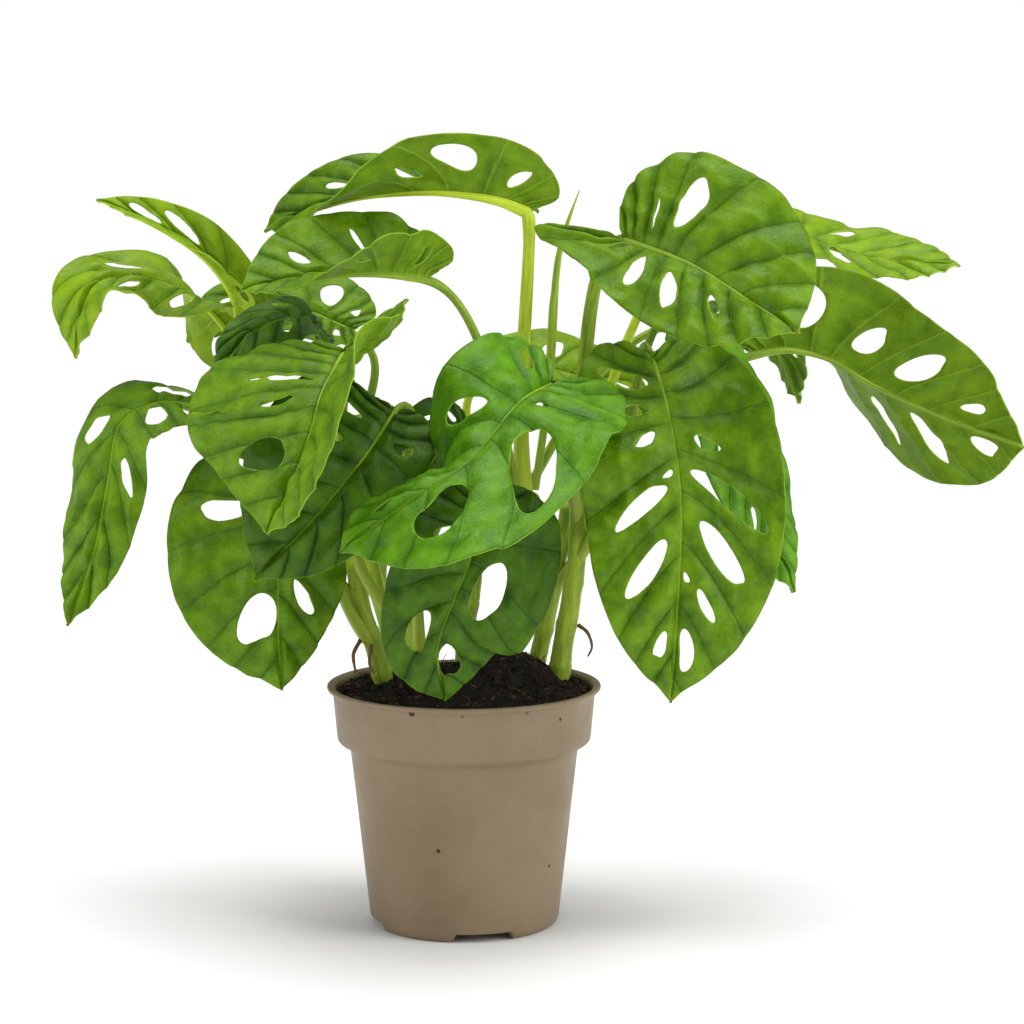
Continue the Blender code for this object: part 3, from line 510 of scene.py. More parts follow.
def scatter_spots(count, reach):
    """Random places on the heap, even by area: the radius goes by the square root of a random number."""
    turn, out = draw.uniform(0, 2 * np.pi, count), reach * np.sqrt(draw.uniform(0, 1, count))
    spot = np.stack([out * np.cos(turn), out * np.sin(turn), 0 * out], 1)
    spot[:, 2] = soil_height(spot[:, 0], spot[:, 1]) + soil_lumps(spot)
    return spot


def random_turns(count):
    """A random rotation for each copy, as three directions at right angles."""
    first = unit(draw.normal(size=(count, 3)))
    second = unit(np.cross(first, draw.normal(size=(count, 3))))
    return np.stack([first, second, np.cross(first, second)], 1)


CRUMBS = 2600
STONE_CORNERS = 12
stone = bmesh.new()
bmesh.ops.create_icosphere(stone, subdivisions=1, radius=1)
stone_points = np.array([v.co for v in stone.verts])
stone_faces = np.array([[v.index for v in f.verts] for f in stone.faces])
stone.free()
sizes = 0.35 + 1.15 * draw.uniform(0, 1, CRUMBS) ** 3
shape = stone_points[None] * draw.uniform(0.65, 1.25, (CRUMBS, STONE_CORNERS, 1))
shape = shape * draw.uniform(0.5, 1.2, (CRUMBS, 1, 3))
crumbs = np.einsum("nij,nkj->nki", random_turns(CRUMBS), shape * sizes[:, None, None])
crumbs += scatter_spots(CRUMBS, 54.5)[:, None]
faces = copied_faces(stone_faces, CRUMBS, STONE_CORNERS)
fields = {"tone": np.repeat(draw.uniform(0, 1, CRUMBS) ** 0.8, STONE_CORNERS)}
add_piece("soil_crumbs", crumbs, faces, [soil_finish], ["soil"], fields)

FIBRES = 150
FIBRE_STEPS, FIBRE_SIDES = 7, 3
THIRD_TURN = 2.094
along = np.linspace(-1, 1, FIBRE_STEPS)[None, :, None, None]
turn = np.arange(FIBRE_SIDES) * THIRD_TURN
ring = np.stack([np.cos(turn), np.sin(turn)], -1)[None, None]
length = draw.uniform(2.0, 6.5, (FIBRES, 1, 1, 1))
bow = draw.uniform(-0.25, 0.25, (FIBRES, 1, 1, 1)) * length
thick = 0.22 * np.sqrt(np.clip(1.02 - along**2, 0, 1))
lengthwise = length * along + 0 * ring[..., :1]
sideways = bow * along**2 + thick * ring[..., :1]
upwards = thick * ring[..., 1:] + 0 * bow
needle = np.concatenate([lengthwise, sideways, upwards], -1).reshape(FIBRES, -1, 3)
turns = random_turns(FIBRES)
turns[:, :, 2] *= 0.35
fibres = np.einsum("nij,nkj->nki", unit(turns), needle) + scatter_spots(FIBRES, 50)[:, None] + (0, 0, 0.5)
faces = copied_faces(ring_faces(FIBRE_STEPS, FIBRE_SIDES), FIBRES, FIBRE_STEPS * FIBRE_SIDES)
fields = {"tone": np.repeat(draw.uniform(0.6, 1.0, FIBRES), FIBRE_STEPS * FIBRE_SIDES)}
add_piece("soil_fibres", fibres, faces, [soil_finish], ["soil"], fields)
print("soil:", CRUMBS, "crumbs and", FIBRES, "fibres")

# %% [markdown]
# ## Stems
# Each cutting has a green stem as thick as a pencil, which rises from the soil. It has a joint every two centimetres,
# where an old leaf left a pale ring and a swelling. A stem is a circle carried along a curve. The circle has to be
# turned with the curve without twisting, so each step keeps the last sideways direction and only makes it square
# to the new one. The radius changes along the way, which makes the joints.

# %% A circle carried along a line


def carried(line, side_start):
    """The direction of the line at each point, and two directions square to it that don't twist."""
    forward = unit(np.gradient(line, axis=0))
    sides = [unit(np.cross(forward[0], side_start))]
    for way in forward[1:]:
        sides.append(unit(sides[-1] - way * (sides[-1] @ way)))
    sides = np.array(sides)
    return forward, sides, np.cross(forward, sides)


def tube(line, radii, columns, side_start=(0.3, 1.0, 0.2)):
    """Point = line + radius (cos a, sin a) in the plane square to the line. radii is one number for each point of the
    line, or one for each point and angle. The two ends close to a point."""
    line, radii = np.asarray(line, float), np.asarray(radii, float)
    _, side, other = carried(line, side_start)
    turn = np.linspace(0, 2 * np.pi, columns, endpoint=False)
    if radii.ndim == 1:
        radii = radii[:, None]
    ring = np.cos(turn)[:, None] * side[:, None] + np.sin(turn)[:, None] * other[:, None]
    points = line[:, None] + radii[..., None] * ring
    first, last = np.repeat(line[:1, None], columns, 1), np.repeat(line[-1:, None], columns, 1)
    points = np.concatenate([first, points, last])
    run = run_along(line)
    run = np.concatenate([run[:1], run, run[-1:]])
    wide = np.broadcast_to(run[:, None], (len(run), columns))
    grain = np.stack([np.cos(turn) + 0 * wide, np.sin(turn) + 0 * wide, wide / 25], -1)
    fields = {"grain": grain, "run": wide / run[-1]}
    return points, ring_faces(len(run), columns), fields


def rough_tube(line, radii, columns, strength, size, seed):
    """A tube whose radii are pushed in and out by noise at its own points."""
    points, _, _ = tube(line, radii, columns)
    radii = radii[:, None] * (1 + strength * noise(points[1:-1], size, seed))
    return tube(line, radii, columns)


# %% [markdown]
# ### Green bark
# Stems and stalks are streaked lengthwise, paler at the foot, with a satin skin. Streaks come from noise on a place
# that the mesh keeps, called grain: the circle's cosine and sine, and the length run, which is squeezed so that the
# clouds stretch along the stalk.

# %% Finishes for stems and stalks
SCAR_COLOUR = (0.16, 0.11, 0.03, 1)


def stalk_finish(name, foot, dark, light, roughness):
    """Streaks between a dark and a light green, fading from the foot's colour in the first part of the run."""
    finish, tree, shader = new_finish(name, roughness, Specular_IOR_Level=0.28)
    grain = field(tree, "grain", "Vector")
    run = field(tree, "run")
    streaks = use_group(tree, mottle, Place=grain, Scale=1.6, Dark=dark, Light=light)
    ragged_run = calc(tree, "ADD", run, calc(tree, "MULTIPLY", streaks["Mask"], 0.06))
    foot_share = remap(tree, ragged_run, 0.0, 0.32, 0.85, 0.0)
    colour = blend_colours(tree, foot_share, streaks["Colour"], foot)
    spots = use_group(tree, specks, Place=object_place(tree), Scale=420.0, Share=0.05)["Mask"]
    colour = blend_colours(tree, calc(tree, "MULTIPLY", spots, 0.45), colour, SCAR_COLOUR)
    feed(tree, shader.inputs["Base Color"], colour)
    gloss = remap(tree, streaks["Mask"], 0.0, 1.0, roughness - 0.06, roughness + 0.1)
    feed(tree, shader.inputs["Roughness"], gloss)
    add_bump(tree, shader, clouds(tree, grain, 9.0, 4.0, 0.6), 0.35, 0.25)
    return finish


stem_finish = stalk_finish("green stem", foot=(0.26, 0.25, 0.03, 1), dark=(0.19, 0.30, 0.010, 1),
                           light=(0.38, 0.50, 0.04, 1), roughness=0.45)
petiole_finish = stalk_finish("leaf stalk", foot=(0.34, 0.42, 0.05, 1), dark=(0.16, 0.28, 0.010, 1),
                              light=(0.33, 0.48, 0.035, 1), roughness=0.42)
pale_stalk_finish = stalk_finish("pale leaf stalk", foot=(0.56, 0.66, 0.07, 1), dark=(0.38, 0.52, 0.015, 1),
                                 light=(0.60, 0.76, 0.045, 1), roughness=0.42)

# %% Make the stems
Stem = namedtuple("Stem", "name line foot_radius top_radius")
STEMS = (
    Stem("stem_right", [(40, 8, 84), (43, 9, 118), (47, 9, 142), (50, 8, 170), (49, 4, 204)], 4.9, 3.7),
    Stem("stem_right_back", [(26, 28, 84), (34, 30, 118), (40, 30, 146), (46, 28, 182)], 4.3, 3.2),
    Stem("stem_middle", [(14, 12, 84), (18, 12, 122), (26, 10, 152), (30, 6, 190)], 4.6, 3.5),
    Stem("stem_back", [(-2, 34, 84), (0, 38, 118), (4, 44, 146), (4, 48, 172)], 4.3, 3.2),
    Stem("stem_left", [(-30, 0, 84), (-38, 0, 118), (-44, -1, 138), (-48, -2, 160)], 4.6, 3.7),
    Stem("stem_left_back", [(-24, 24, 84), (-32, 27, 118), (-40, 32, 146), (-44, 35, 174)], 4.3, 3.2),
    Stem("stem_front_left", [(-10, -16, 84), (-16, -20, 112), (-22, -26, 134), (-25, -28, 158)], 4.3, 3.4),
)
JOINT_GAP = 19.0  # between two joints of a stem
JOINT_SHIFT = 5.0  # from one stem's first joint to the next stem's
STEM_SIDES = 28


def stem_radii(stem, run, phase):
    """A straight taper, plus at each joint a bell-shaped swelling with a fine ring cut into it, and a rounded top."""
    share = run / run[-1]
    taper = stem.foot_radius + (stem.top_radius - stem.foot_radius) * share
    from_joint = (run + phase) % JOINT_GAP - JOINT_GAP / 2
    swelling = 0.11 * np.exp(-((from_joint / 3.2) ** 2)) - 0.07 * np.exp(-((from_joint - 1.6) ** 2) / 0.5)
    return taper * (1 + swelling) * np.sqrt(np.clip((run[-1] - run) / 2.5, 0, 1))


stem_lines = {}
for number, stem in enumerate(STEMS):
    line = smooth_line(stem.line, 110)
    stem_lines[stem.name] = smooth_line(stem.line, 10)
    radii = stem_radii(stem, run_along(line), number * JOINT_SHIFT)
    points, faces, fields = rough_tube(line, radii, STEM_SIDES, 0.03, 5.0, 20 + number)
    name = stem.name.replace("stem", "cane")
    add_piece(name, points, faces, [stem_finish], [stem.name], fields)
print("stems:", len(STEMS), "with their tops at z", [stem.line[-1][2] for stem in STEMS], "mm")

# %% [markdown]
# ## The leaves' plan
# A leaf of this plant is a broad oval with a drip tip and two round lobes behind the stalk. Veins run from the
# midrib to the margin, and holes, called windows, open between them. Every leaf hangs its own way, so a leaf is
# described by a curve for its midrib, the way its face looks along it, and how each half folds and curls.
#
# A blade starts as a flat sheet with two parameters. Share runs along the margin from base to tip, and each share has
# one vein. Out runs along that vein from midrib to margin. The flat sheet is then bent along the midrib.

# %% What describes a leaf

# A side of a blade: its width in mm, how far it folds up at the midrib and how far it curls further up to the
# margin, both in degrees at even steps from base to tip, and how far its basal lobe reaches back.
Side = namedtuple("Side", "width fold curl lobe", defaults=[1.0])

# A window: side is -1 (left) or 1 (right), along is its share, out its place on the vein, and the last two are its
# half sizes.
Window = namedtuple("Window", "side along out half_along half_out")

# stalk: the stem, the height where it leaves it, its lean there in x and y, and how far it runs straight on at its
# foot and at the blade. lift: how far the margin's waves rise. seed: gives the leaf waves and noise of its own.
Leaf = namedtuple("Leaf", "name midrib face left right lift seed windows stalk")


def window_set(seed):
    """Windows for a blade turned away from the front: some on each side, the largest near the middle."""
    draw = np.random.default_rng(seed)
    found = []
    for side, count in ((-1, 3), (1, 4)):
        for place in np.linspace(0.27, 0.76, count):
            size = 1 - abs(place - 0.45) * 1.3
            found.append(Window(side, place + draw.uniform(-0.015, 0.015), draw.uniform(0.42, 0.55),
                                size * draw.uniform(0.028, 0.045), size * draw.uniform(0.17, 0.27)))
    return found


def windows_of(leaf):
    """The windows given for a leaf, or a drawn set where none are given."""
    return [Window(*numbers) for numbers in leaf.windows] or window_set(leaf.seed)


LEAVES = (
    Leaf("leaf_top",
         [(28, 0, 312), (12, -6, 318), (-14, -10, 321), (-42, -6, 319), (-66, 0, 312), (-86, 7, 303)],
         [(0.1, 0.95, 0.3), (0, 0.75, 0.65), (-0.1, -0.3, 0.95), (-0.2, -0.85, 0.5)],
         Side(28, (5, 20), (10, 10), 1.2), Side(24, (78, 20), (10, 10)), 1.0, 1,
         [(-1, 0.48, 0.6, 0.035, 0.24), (-1, 0.33, 0.5, 0.02, 0.24), (-1, 0.59, 0.4, 0.02, 0.14),
          (1, 0.6, 0.55, 0.03, 0.16), (1, 0.76, 0.5, 0.02, 0.16)],
         ("stem_middle", 174, (-0.32, -0.2), 45, 6)),
    Leaf("leaf_upper_left",
         [(-14, -26, 286), (-38, -34, 288), (-63, -42, 286), (-92, -50, 281)],
         [(0, -0.25, 0.95), (0, -0.4, 0.9), (0, -0.5, 0.85)],
         Side(26, (70, 5), (15, 0), 1.6), Side(32, (30, 25), (5, 0)), 1.2, 2,
         [(1, 0.3, 0.55, 0.035, 0.3), (1, 0.52, 0.5, 0.01, 0.2), (-1, 0.3, 0.5, 0.03, 0.25),
          (-1, 0.55, 0.45, 0.02, 0.15), (1, 0.74, 0.5, 0.02, 0.18)],
         ("stem_middle", 160, (-0.3, -0.5), 50, 30)),
    Leaf("leaf_far_left_high",
         [(-95, -2, 256), (-97, -6, 274), (-108, -11, 291), (-126, -15, 304), (-155, -16, 318)],
         [(0.9, -0.2, 0.35), (0.7, -0.35, 0.6), (0.2, -0.6, 0.8), (0.1, -0.6, 0.8)],
         Side(14, (40, 30), (10, 0), 0.4), Side(15, (40, 30), (10, 0), 0.4), 1.0, 3,
         [(1, 0.7, 0.5, 0.04, 0.28), (1, 0.84, 0.5, 0.04, 0.28), (-1, 0.45, 0.5, 0.03, 0.25),
          (-1, 0.62, 0.5, 0.025, 0.22)],
         ("stem_left", 152, (-0.3, 0.15), 55, 30)),
    Leaf("leaf_left_pale",
         [(-97, 20, 251), (-117, 15, 275), (-140, 8, 283), (-160, -4, 278), (-166, -14, 250)],
         [(-0.5, 0.6, 0.6), (-0.3, 0.3, 0.9), (-0.3, -0.2, 0.95), (-0.6, -0.6, 0.4), (-0.7, -0.7, 0)],
         Side(27, (-20, -45, -30, 10, 10), (0, -10, 0, 10, 0), 0.4), Side(26, (25, 10), (10, 0)), 1.2, 4,
         [(-1, 0.36, 0.55, 0.045, 0.28), (-1, 0.52, 0.5, 0.025, 0.25), (1, 0.32, 0.5, 0.02, 0.26),
          (1, 0.45, 0.5, 0.02, 0.26), (1, 0.66, 0.5, 0.025, 0.22), (-1, 0.7, 0.5, 0.025, 0.2)],
         ("stem_left_back", 150, (-0.5, -0.1), 55, 40)),
    Leaf("leaf_left_dark",
         [(-56, -10, 256), (-70, -22, 268), (-88, -38, 263), (-104, -50, 244)],
         [(-0.1, -0.45, 0.9), (-0.1, -0.45, 0.9), (-0.4, -0.5, 0.7)],
         Side(20, (-10, -15), (5, 0), 0.6), Side(15, (8, 5), (-10, 0), 0.6), 1.5, 5,
         [(1, 0.36, 0.5, 0.02, 0.22), (1, 0.52, 0.5, 0.025, 0.22), (-1, 0.4, 0.5, 0.02, 0.22),
          (-1, 0.6, 0.5, 0.02, 0.18)],
         ("stem_front_left", 152, (-0.05, 0.3), 50, 25)),
    Leaf("leaf_front_left",
         [(-48, -72, 258), (-56, -92, 243), (-60, -102, 228), (-68, -110, 206), (-77, -114, 188)],
         [(-0.3, -0.6, 0.75), (-0.3, -0.85, 0.4), (-0.25, -0.95, 0.2)],
         Side(48, (0, 35, 50, 45), (70, 30, 5, 0), 4.5), Side(60, (5, -5), (-15, -10)), 1.8, 6,
         [(1, 0.75, 0.45, 0.05, 0.26), (1, 0.45, 0.35, 0.012, 0.24), (1, 0.55, 0.3, 0.012, 0.12)],
         ("stem_front_left", 132, (-0.95, 0.05), 70, 30)),
    Leaf("leaf_left_under",
         [(-27, -60, 233), (-40, -74, 214), (-58, -82, 192), (-84, -84, 165)],
         [(-0.1, -0.8, 0.6), (-0.2, -0.9, 0.3), (-0.3, -0.9, 0.2)],
         Side(25, (-15, -20), (-10, 0), 0.6), Side(44, (22, 0), (-10, 0), 0.0), 1.5, 7,
         [(1, 0.36, 0.5, 0.02, 0.22), (1, 0.5, 0.5, 0.025, 0.22), (-1, 0.4, 0.5, 0.02, 0.22)],
         ("stem_front_left", 120, (0.2, -0.7), 70, 30)),
    Leaf("leaf_lower_left",
         [(-72, -24, 208), (-77, -38, 176), (-78, -44, 144), (-77, -42, 111)],
         [(-0.1, -0.8, 0.6), (0, -1, 0.1), (0, -1, -0.1)],
         Side(32, (-30, -30), (0, 0)), Side(48, (0, 0), (-10, 0)), 1.5, 8,
         [(1, 0.3, 0.6, 0.02, 0.14), (1, 0.47, 0.5, 0.025, 0.26), (1, 0.79, 0.36, 0.065, 0.3),
          (1, 0.52, 0.2, 0.025, 0.1), (-1, 0.45, 0.45, 0.02, 0.25), (-1, 0.7, 0.5, 0.03, 0.22)],
         ("stem_left", 122, (-0.5, -0.6), 50, 35)),
    Leaf("leaf_far_left_low",
         [(-112, -12, 229), (-130, -18, 232), (-146, -26, 223), (-151, -32, 198), (-157, -36, 168),
          (-168, -38, 138)],
         [(0, -0.4, 0.9), (-0.3, -0.5, 0.8), (-0.5, -0.8, 0.2), (-0.5, -0.85, 0)],
         Side(19, (-10, -20), (0, 0)), Side(22, (0, 0), (-20, -10)), 1.8, 9,
         [(1, 0.32, 0.5, 0.06, 0.3), (-1, 0.26, 0.5, 0.04, 0.24), (-1, 0.42, 0.5, 0.035, 0.26),
          (1, 0.52, 0.5, 0.025, 0.2), (-1, 0.6, 0.55, 0.02, 0.22)],
         ("stem_left", 138, (-0.6, -0.1), 60, 45)),
    Leaf("leaf_front_middle",
         [(38, -50, 243), (24, -72, 237), (4, -96, 216), (-12, -108, 207), (-26, -113, 197), (-48, -116, 181)],
         [(0.1, -0.6, 0.8), (-0.1, -0.75, 0.65), (-0.2, -0.85, 0.5), (-0.2, -0.9, 0.4)],
         Side(47, (8, 0), (0, -10), 1.8), Side(34, (15, 10, -45, -40, -10), (10, 0, -40, -20, 0)), 2.2, 10,
         [(-1, 0.56, 0.55, 0.055, 0.3), (-1, 0.76, 0.5, 0.055, 0.28), (-1, 0.42, 0.2, 0.012, 0.06),
          (1, 0.28, 0.55, 0.03, 0.22), (1, 0.5, 0.5, 0.025, 0.2), (1, 0.86, 0.45, 0.03, 0.18)],
         ("stem_right", 176, (-0.2, -0.4), 50, 35)),
    Leaf("leaf_low_middle",
         [(6, -58, 196), (4, -68, 172), (-3, -70, 154), (-10, -66, 132), (-7, -56, 109)],
         [(0, -0.95, 0.4), (0, -1, 0.1), (0, -0.9, -0.4)],
         Side(38, (0, -10), (-20, 0)), Side(30, (0, 0), (-10, 0)), 1.3, 11,
         [(-1, 0.58, 0.34, 0.1, 0.16), (1, 0.42, 0.4, 0.04, 0.14), (1, 0.74, 0.5, 0.055, 0.2),
          (-1, 0.86, 0.36, 0.06, 0.28)],
         ("stem_middle", 138, (-0.2, -0.7), 55, 35)),
    Leaf("leaf_right_hanging",
         [(80, -36, 253), (87, -54, 228), (91, -68, 196), (90, -73, 160), (87, -70, 111)],
         [(0.1, -0.7, 0.7), (0, -0.95, 0.3), (0, -1, 0), (0, -1, 0)],
         Side(45, (-32, -30, -5, 0), (70, 60, 15, 0)), Side(41, (-6, 0), (0, 0)), 1.8, 12,
         [(1, 0.3, 0.5, 0.03, 0.28), (1, 0.4, 0.35, 0.015, 0.14), (1, 0.48, 0.3, 0.015, 0.12),
          (1, 0.6, 0.45, 0.02, 0.3), (1, 0.72, 0.5, 0.03, 0.26), (1, 0.88, 0.5, 0.02, 0.2),
          (-1, 0.5, 0.3, 0.015, 0.12), (-1, 0.58, 0.5, 0.022, 0.34), (-1, 0.68, 0.5, 0.025, 0.3),
          (-1, 0.79, 0.5, 0.015, 0.16), (-1, 0.9, 0.42, 0.032, 0.28)],
         ("stem_right", 158, (0.5, -0.4), 70, 35)),
    Leaf("leaf_right_behind",
         [(98, -8, 262), (114, -12, 228), (126, -14, 190), (142, -18, 149)],
         [(0.6, -0.6, 0.5), (0.7, -0.7, 0.1), (0.7, -0.7, 0)],
         Side(24, (5, 0), (0, 0)), Side(26, (5, 0), (0, 0)), 1.2, 13,
         [],
         ("stem_right_back", 144, (0.7, -0.6), 60, 45)),
    Leaf("leaf_upper_right",
         [(68, -24, 301), (95, -44, 292), (120, -62, 277), (138, -78, 266)],
         [(-0.4, -0.8, 0.35), (-0.25, -0.8, 0.5), (0, -0.8, 0.6)],
         Side(47, (10, 0), (-15, -10), 1.2), Side(33, (45, 5, 0), (-25, -15, -10), 6.0), 1.6, 14,
         [(1, 0.27, 0.3, 0.015, 0.16), (1, 0.42, 0.5, 0.025, 0.24), (1, 0.54, 0.5, 0.025, 0.24),
          (1, 0.7, 0.5, 0.018, 0.15), (-1, 0.46, 0.5, 0.028, 0.26), (-1, 0.36, 0.35, 0.01, 0.14)],
         ("stem_right", 192, (0.1, -0.1), 50, 25)),
    Leaf("leaf_right_high",
         [(128, 34, 306), (150, 33, 300), (174, 30, 292), (195, 24, 289), (216, 16, 288)],
         [(0, -0.3, 0.95), (0, -0.3, 0.95), (0, -0.4, 0.9)],
         Side(28, (0, 5), (0, 0)), Side(26, (0, 0), (0, 0)), 1.0, 15,
         [(-1, 0.4, 0.5, 0.035, 0.22), (-1, 0.56, 0.5, 0.025, 0.2), (1, 0.4, 0.5, 0.035, 0.24),
          (1, 0.58, 0.5, 0.03, 0.2)],
         ("stem_right_back", 172, (0.2, 0.2), 70, 50)),
    Leaf("leaf_far_right",
         [(126, 10, 250), (141, 9, 252), (159, 6, 248), (178, 0, 237), (200, -9, 227), (222, -20, 219),
          (238, -36, 214)],
         [(0.1, 0.9, 0.35), (0.1, 0.9, 0.35), (0.1, 0.95, 0.2)],
         Side(44, (90, 30, -5), (10, 0)), Side(40, (8, 0), (5, 0)), 1.3, 16,
         [(1, 0.24, 0.5, 0.02, 0.18), (1, 0.38, 0.6, 0.05, 0.3), (1, 0.53, 0.4, 0.025, 0.2),
          (1, 0.66, 0.5, 0.035, 0.25), (1, 0.83, 0.5, 0.02, 0.16), (-1, 0.6, 0.55, 0.018, 0.26),
          (-1, 0.73, 0.5, 0.03, 0.28), (-1, 0.88, 0.5, 0.03, 0.22)],
         ("stem_right_back", 158, (0.6, 0.0), 60, 55)),
    Leaf("leaf_back_middle",
         [(14, 66, 236), (38, 74, 238), (66, 78, 228), (90, 78, 208)],
         [(0, -0.45, 0.9), (0, -0.45, 0.9), (0.3, -0.4, 0.8)],
         Side(26, (10, 5), (0, 0)), Side(26, (5, 0), (0, 0)), 1.2, 17,
         [],
         ("stem_back", 162, (0.1, 0.2), 50, 30)),
    Leaf("leaf_back_left",
         [(-50, 42, 258), (-76, 50, 268), (-102, 50, 268), (-124, 46, 252)],
         [(-0.1, -0.4, 0.9), (-0.1, -0.4, 0.9), (0, -0.4, 0.9)],
         Side(28, (10, 5), (0, 0)), Side(26, (10, 5), (0, 0)), 1.2, 18,
         [],
         ("stem_left_back", 164, (-0.2, 0.1), 60, 35)),
    Leaf("leaf_back_right",
         [(98, 58, 262), (122, 68, 260), (142, 73, 246), (152, 72, 222)],
         [(0, 0.2, 0.95), (0.3, 0.2, 0.9), (0.8, 0.3, 0.4)],
         Side(26, (10, 5), (0, 0)), Side(26, (10, 5), (0, 0)), 1.2, 19,
         [],
         ("stem_back", 148, (0.7, 0.1), 60, 50)),
    Leaf("leaf_back_low",
         [(-22, 74, 212), (-28, 94, 208), (-30, 108, 188), (-28, 114, 152)],
         [(0, 0.3, 0.95), (0, 0.8, 0.6), (0, 1, 0.1)],
         Side(34, (5, 5), (-10, 0)), Side(34, (5, 5), (-10, 0)), 1.5, 20,
         [],
         ("stem_left_back", 134, (0.1, 0.6), 50, 35)),
    Leaf("leaf_inner",
         [(2, -16, 222), (-8, -22, 214), (-16, -26, 200), (-20, -27, 178)],
         [(0, -0.7, 0.6), (-0.1, -0.8, 0.5), (-0.1, -0.9, 0.3)],
         Side(24, (5, 0), (0, 0)), Side(22, (5, 0), (0, 0)), 1.2, 21,
         [],
         ("stem_front_left", 142, (0.35, 0.25), 45, 25)),
)

window_count = sum(len(windows_of(leaf)) for leaf in LEAVES)
print("leaves:", len(LEAVES), "with", window_count, "windows")

# %% [markdown]
# ## From a flat plan to a bent blade
# The outline is a spline through a few points, for half a leaf. A vein leaves the midrib squarely and bends toward the
# tip, so a point's height on the flat leaf rises with a power of out. Bending keeps lengths: a half that curls
# lies on an arc, and the point's distance from the midrib is measured along that arc.

# %% The flat leaf
OUTLINE = (
    (0.0, 0.0), (0.26, -0.058), (0.56, -0.052), (0.83, 0.035), (0.97, 0.17), (1.0, 0.34), (0.97, 0.50), (0.86, 0.66),
    (0.65, 0.80), (0.37, 0.905), (0.12, 0.965), (0.0, 1.0),
)
VEIN_SLOPE = 1.9  # the veins start crowded at the base of the midrib
VEIN_BEND = 1.35
MARGIN = smooth_line(OUTLINE, 200)
MARGIN_SHARE = np.linspace(0, 1, len(MARGIN))


def flat_point(share, side, out, leaf, length):
    """The vein of this share runs from height share^1.9 on the midrib to the margin. x grows straight with out, and
    the height between the vein's two ends grows with out^1.35."""
    half = np.where(side < 0, leaf.left.width, leaf.right.width)
    end_x = np.interp(share, MARGIN_SHARE, MARGIN[:, 0]) * half
    end_y = np.interp(share, MARGIN_SHARE, MARGIN[:, 1]) * length
    end_y = np.where(end_y < 0, end_y * np.where(side < 0, leaf.left.lobe, leaf.right.lobe), end_y)
    start_y = share**VEIN_SLOPE * length
    return side * end_x * out, start_y + (end_y - start_y) * out**VEIN_BEND


# %% The midrib and the bend


class Midrib:
    """The curve that a blade is bent along, with the blade's own directions at each point."""

    def __init__(self, leaf):
        self.line = smooth_line(leaf.midrib, 60)
        self.run = run_along(self.line)
        self.length = self.run[-1]
        self.forward = unit(np.gradient(self.line, axis=0))
        stops, places = np.linspace(0, 1, len(leaf.face)), self.run / self.length
        looks = np.stack([np.interp(places, stops, column) for column in zip(*leaf.face)], 1)
        self.up = unit(looks - (looks * self.forward).sum(1, keepdims=True) * self.forward)

    def at(self, y):
        """Point, forward, up and right at the length y. It runs straight on past both ends."""
        inside = np.clip(y, 0, self.length)
        point, forward, up = (
            np.stack([np.interp(inside, self.run, values[:, k]) for k in range(3)], -1)
            for values in (self.line, self.forward, self.up)
        )
        forward, up = unit(forward), unit(up)
        return point + forward * (y - inside)[..., None], forward, up, unit(np.cross(forward, up))


def bend(leaf, midrib, x, y):
    """A half with fold f and curl c turns by f + c r / width at the distance r from the midrib. Its point is the
    integral of that direction, an arc, plus waves that grow with the square of r."""
    point, _, up, right = midrib.at(y)
    along = np.clip(y / midrib.length, 0, 1)
    fold, curl, width = np.zeros_like(x), np.zeros_like(x), np.ones_like(x)
    for side, mine in ((leaf.left, x < 0), (leaf.right, x >= 0)):
        fold = np.where(mine, np.interp(along, np.linspace(0, 1, len(side.fold)), side.fold), fold)
        curl = np.where(mine, np.interp(along, np.linspace(0, 1, len(side.curl)), side.curl), curl)
        width = np.where(mine, side.width, width)
    fold, rate = np.radians(fold), np.radians(curl) / width
    rate = np.where(np.abs(rate) < 1e-5, 1e-5, rate)
    reach = np.abs(x)
    turned = fold + rate * reach
    across = (np.sin(turned) - np.sin(fold)) / rate
    rise = (np.cos(fold) - np.cos(turned)) / rate
    phase = leaf.seed * 1.7 + (x > 0) * 2.1
    ripple = np.sin(along * 13 + phase) + 0.6 * np.sin(along * 23 + phase * 2)
    wave = leaf.lift * ripple * (reach / width) ** 2
    across, rise = np.sign(x) * (across - wave * np.sin(turned)), rise + wave * np.cos(turned)
    return point + right * across[..., None] + up * rise[..., None]


# %% [markdown]
# ## Relief and windows
# A real blade isn't smooth. It is quilted: it swells between its side veins, the veins lie in valleys, and the midrib
# lies in a channel. The relief is a height over the bent sheet, from the veins' spacing and some noise. The
# windows are cut while the sheet is still flat in its two parameters: a triangulation takes the grid's points and
# each window's edge, and the triangles inside the windows are thrown away.

# %% Veins between windows
VEIN_GAP = 0.1  # the usual share from one side vein to the next
LEAST_PARTING = 0.13  # a window shorter than this, as half_out, doesn't push the veins apart


def vein_phase(windows, share, side):
    """A number that is whole on each side vein and halfway where a window is, so that its fraction says how far a
    point is from vein to vein."""
    phase = np.zeros_like(share)
    for which in (-1, 1):
        middles = sorted(w.along for w in windows if w.side == which and w.half_out > LEAST_PARTING)
        filled = [-0.12]
        for middle in [*middles, 1.15]:
            steps = max(1, round((middle - filled[-1]) / VEIN_GAP))
            filled += list(np.linspace(filled[-1], middle, steps + 1)[1:])
        phase = np.where(side == which, np.interp(share, filled, np.arange(len(filled)) + 0.5), phase)
    return phase


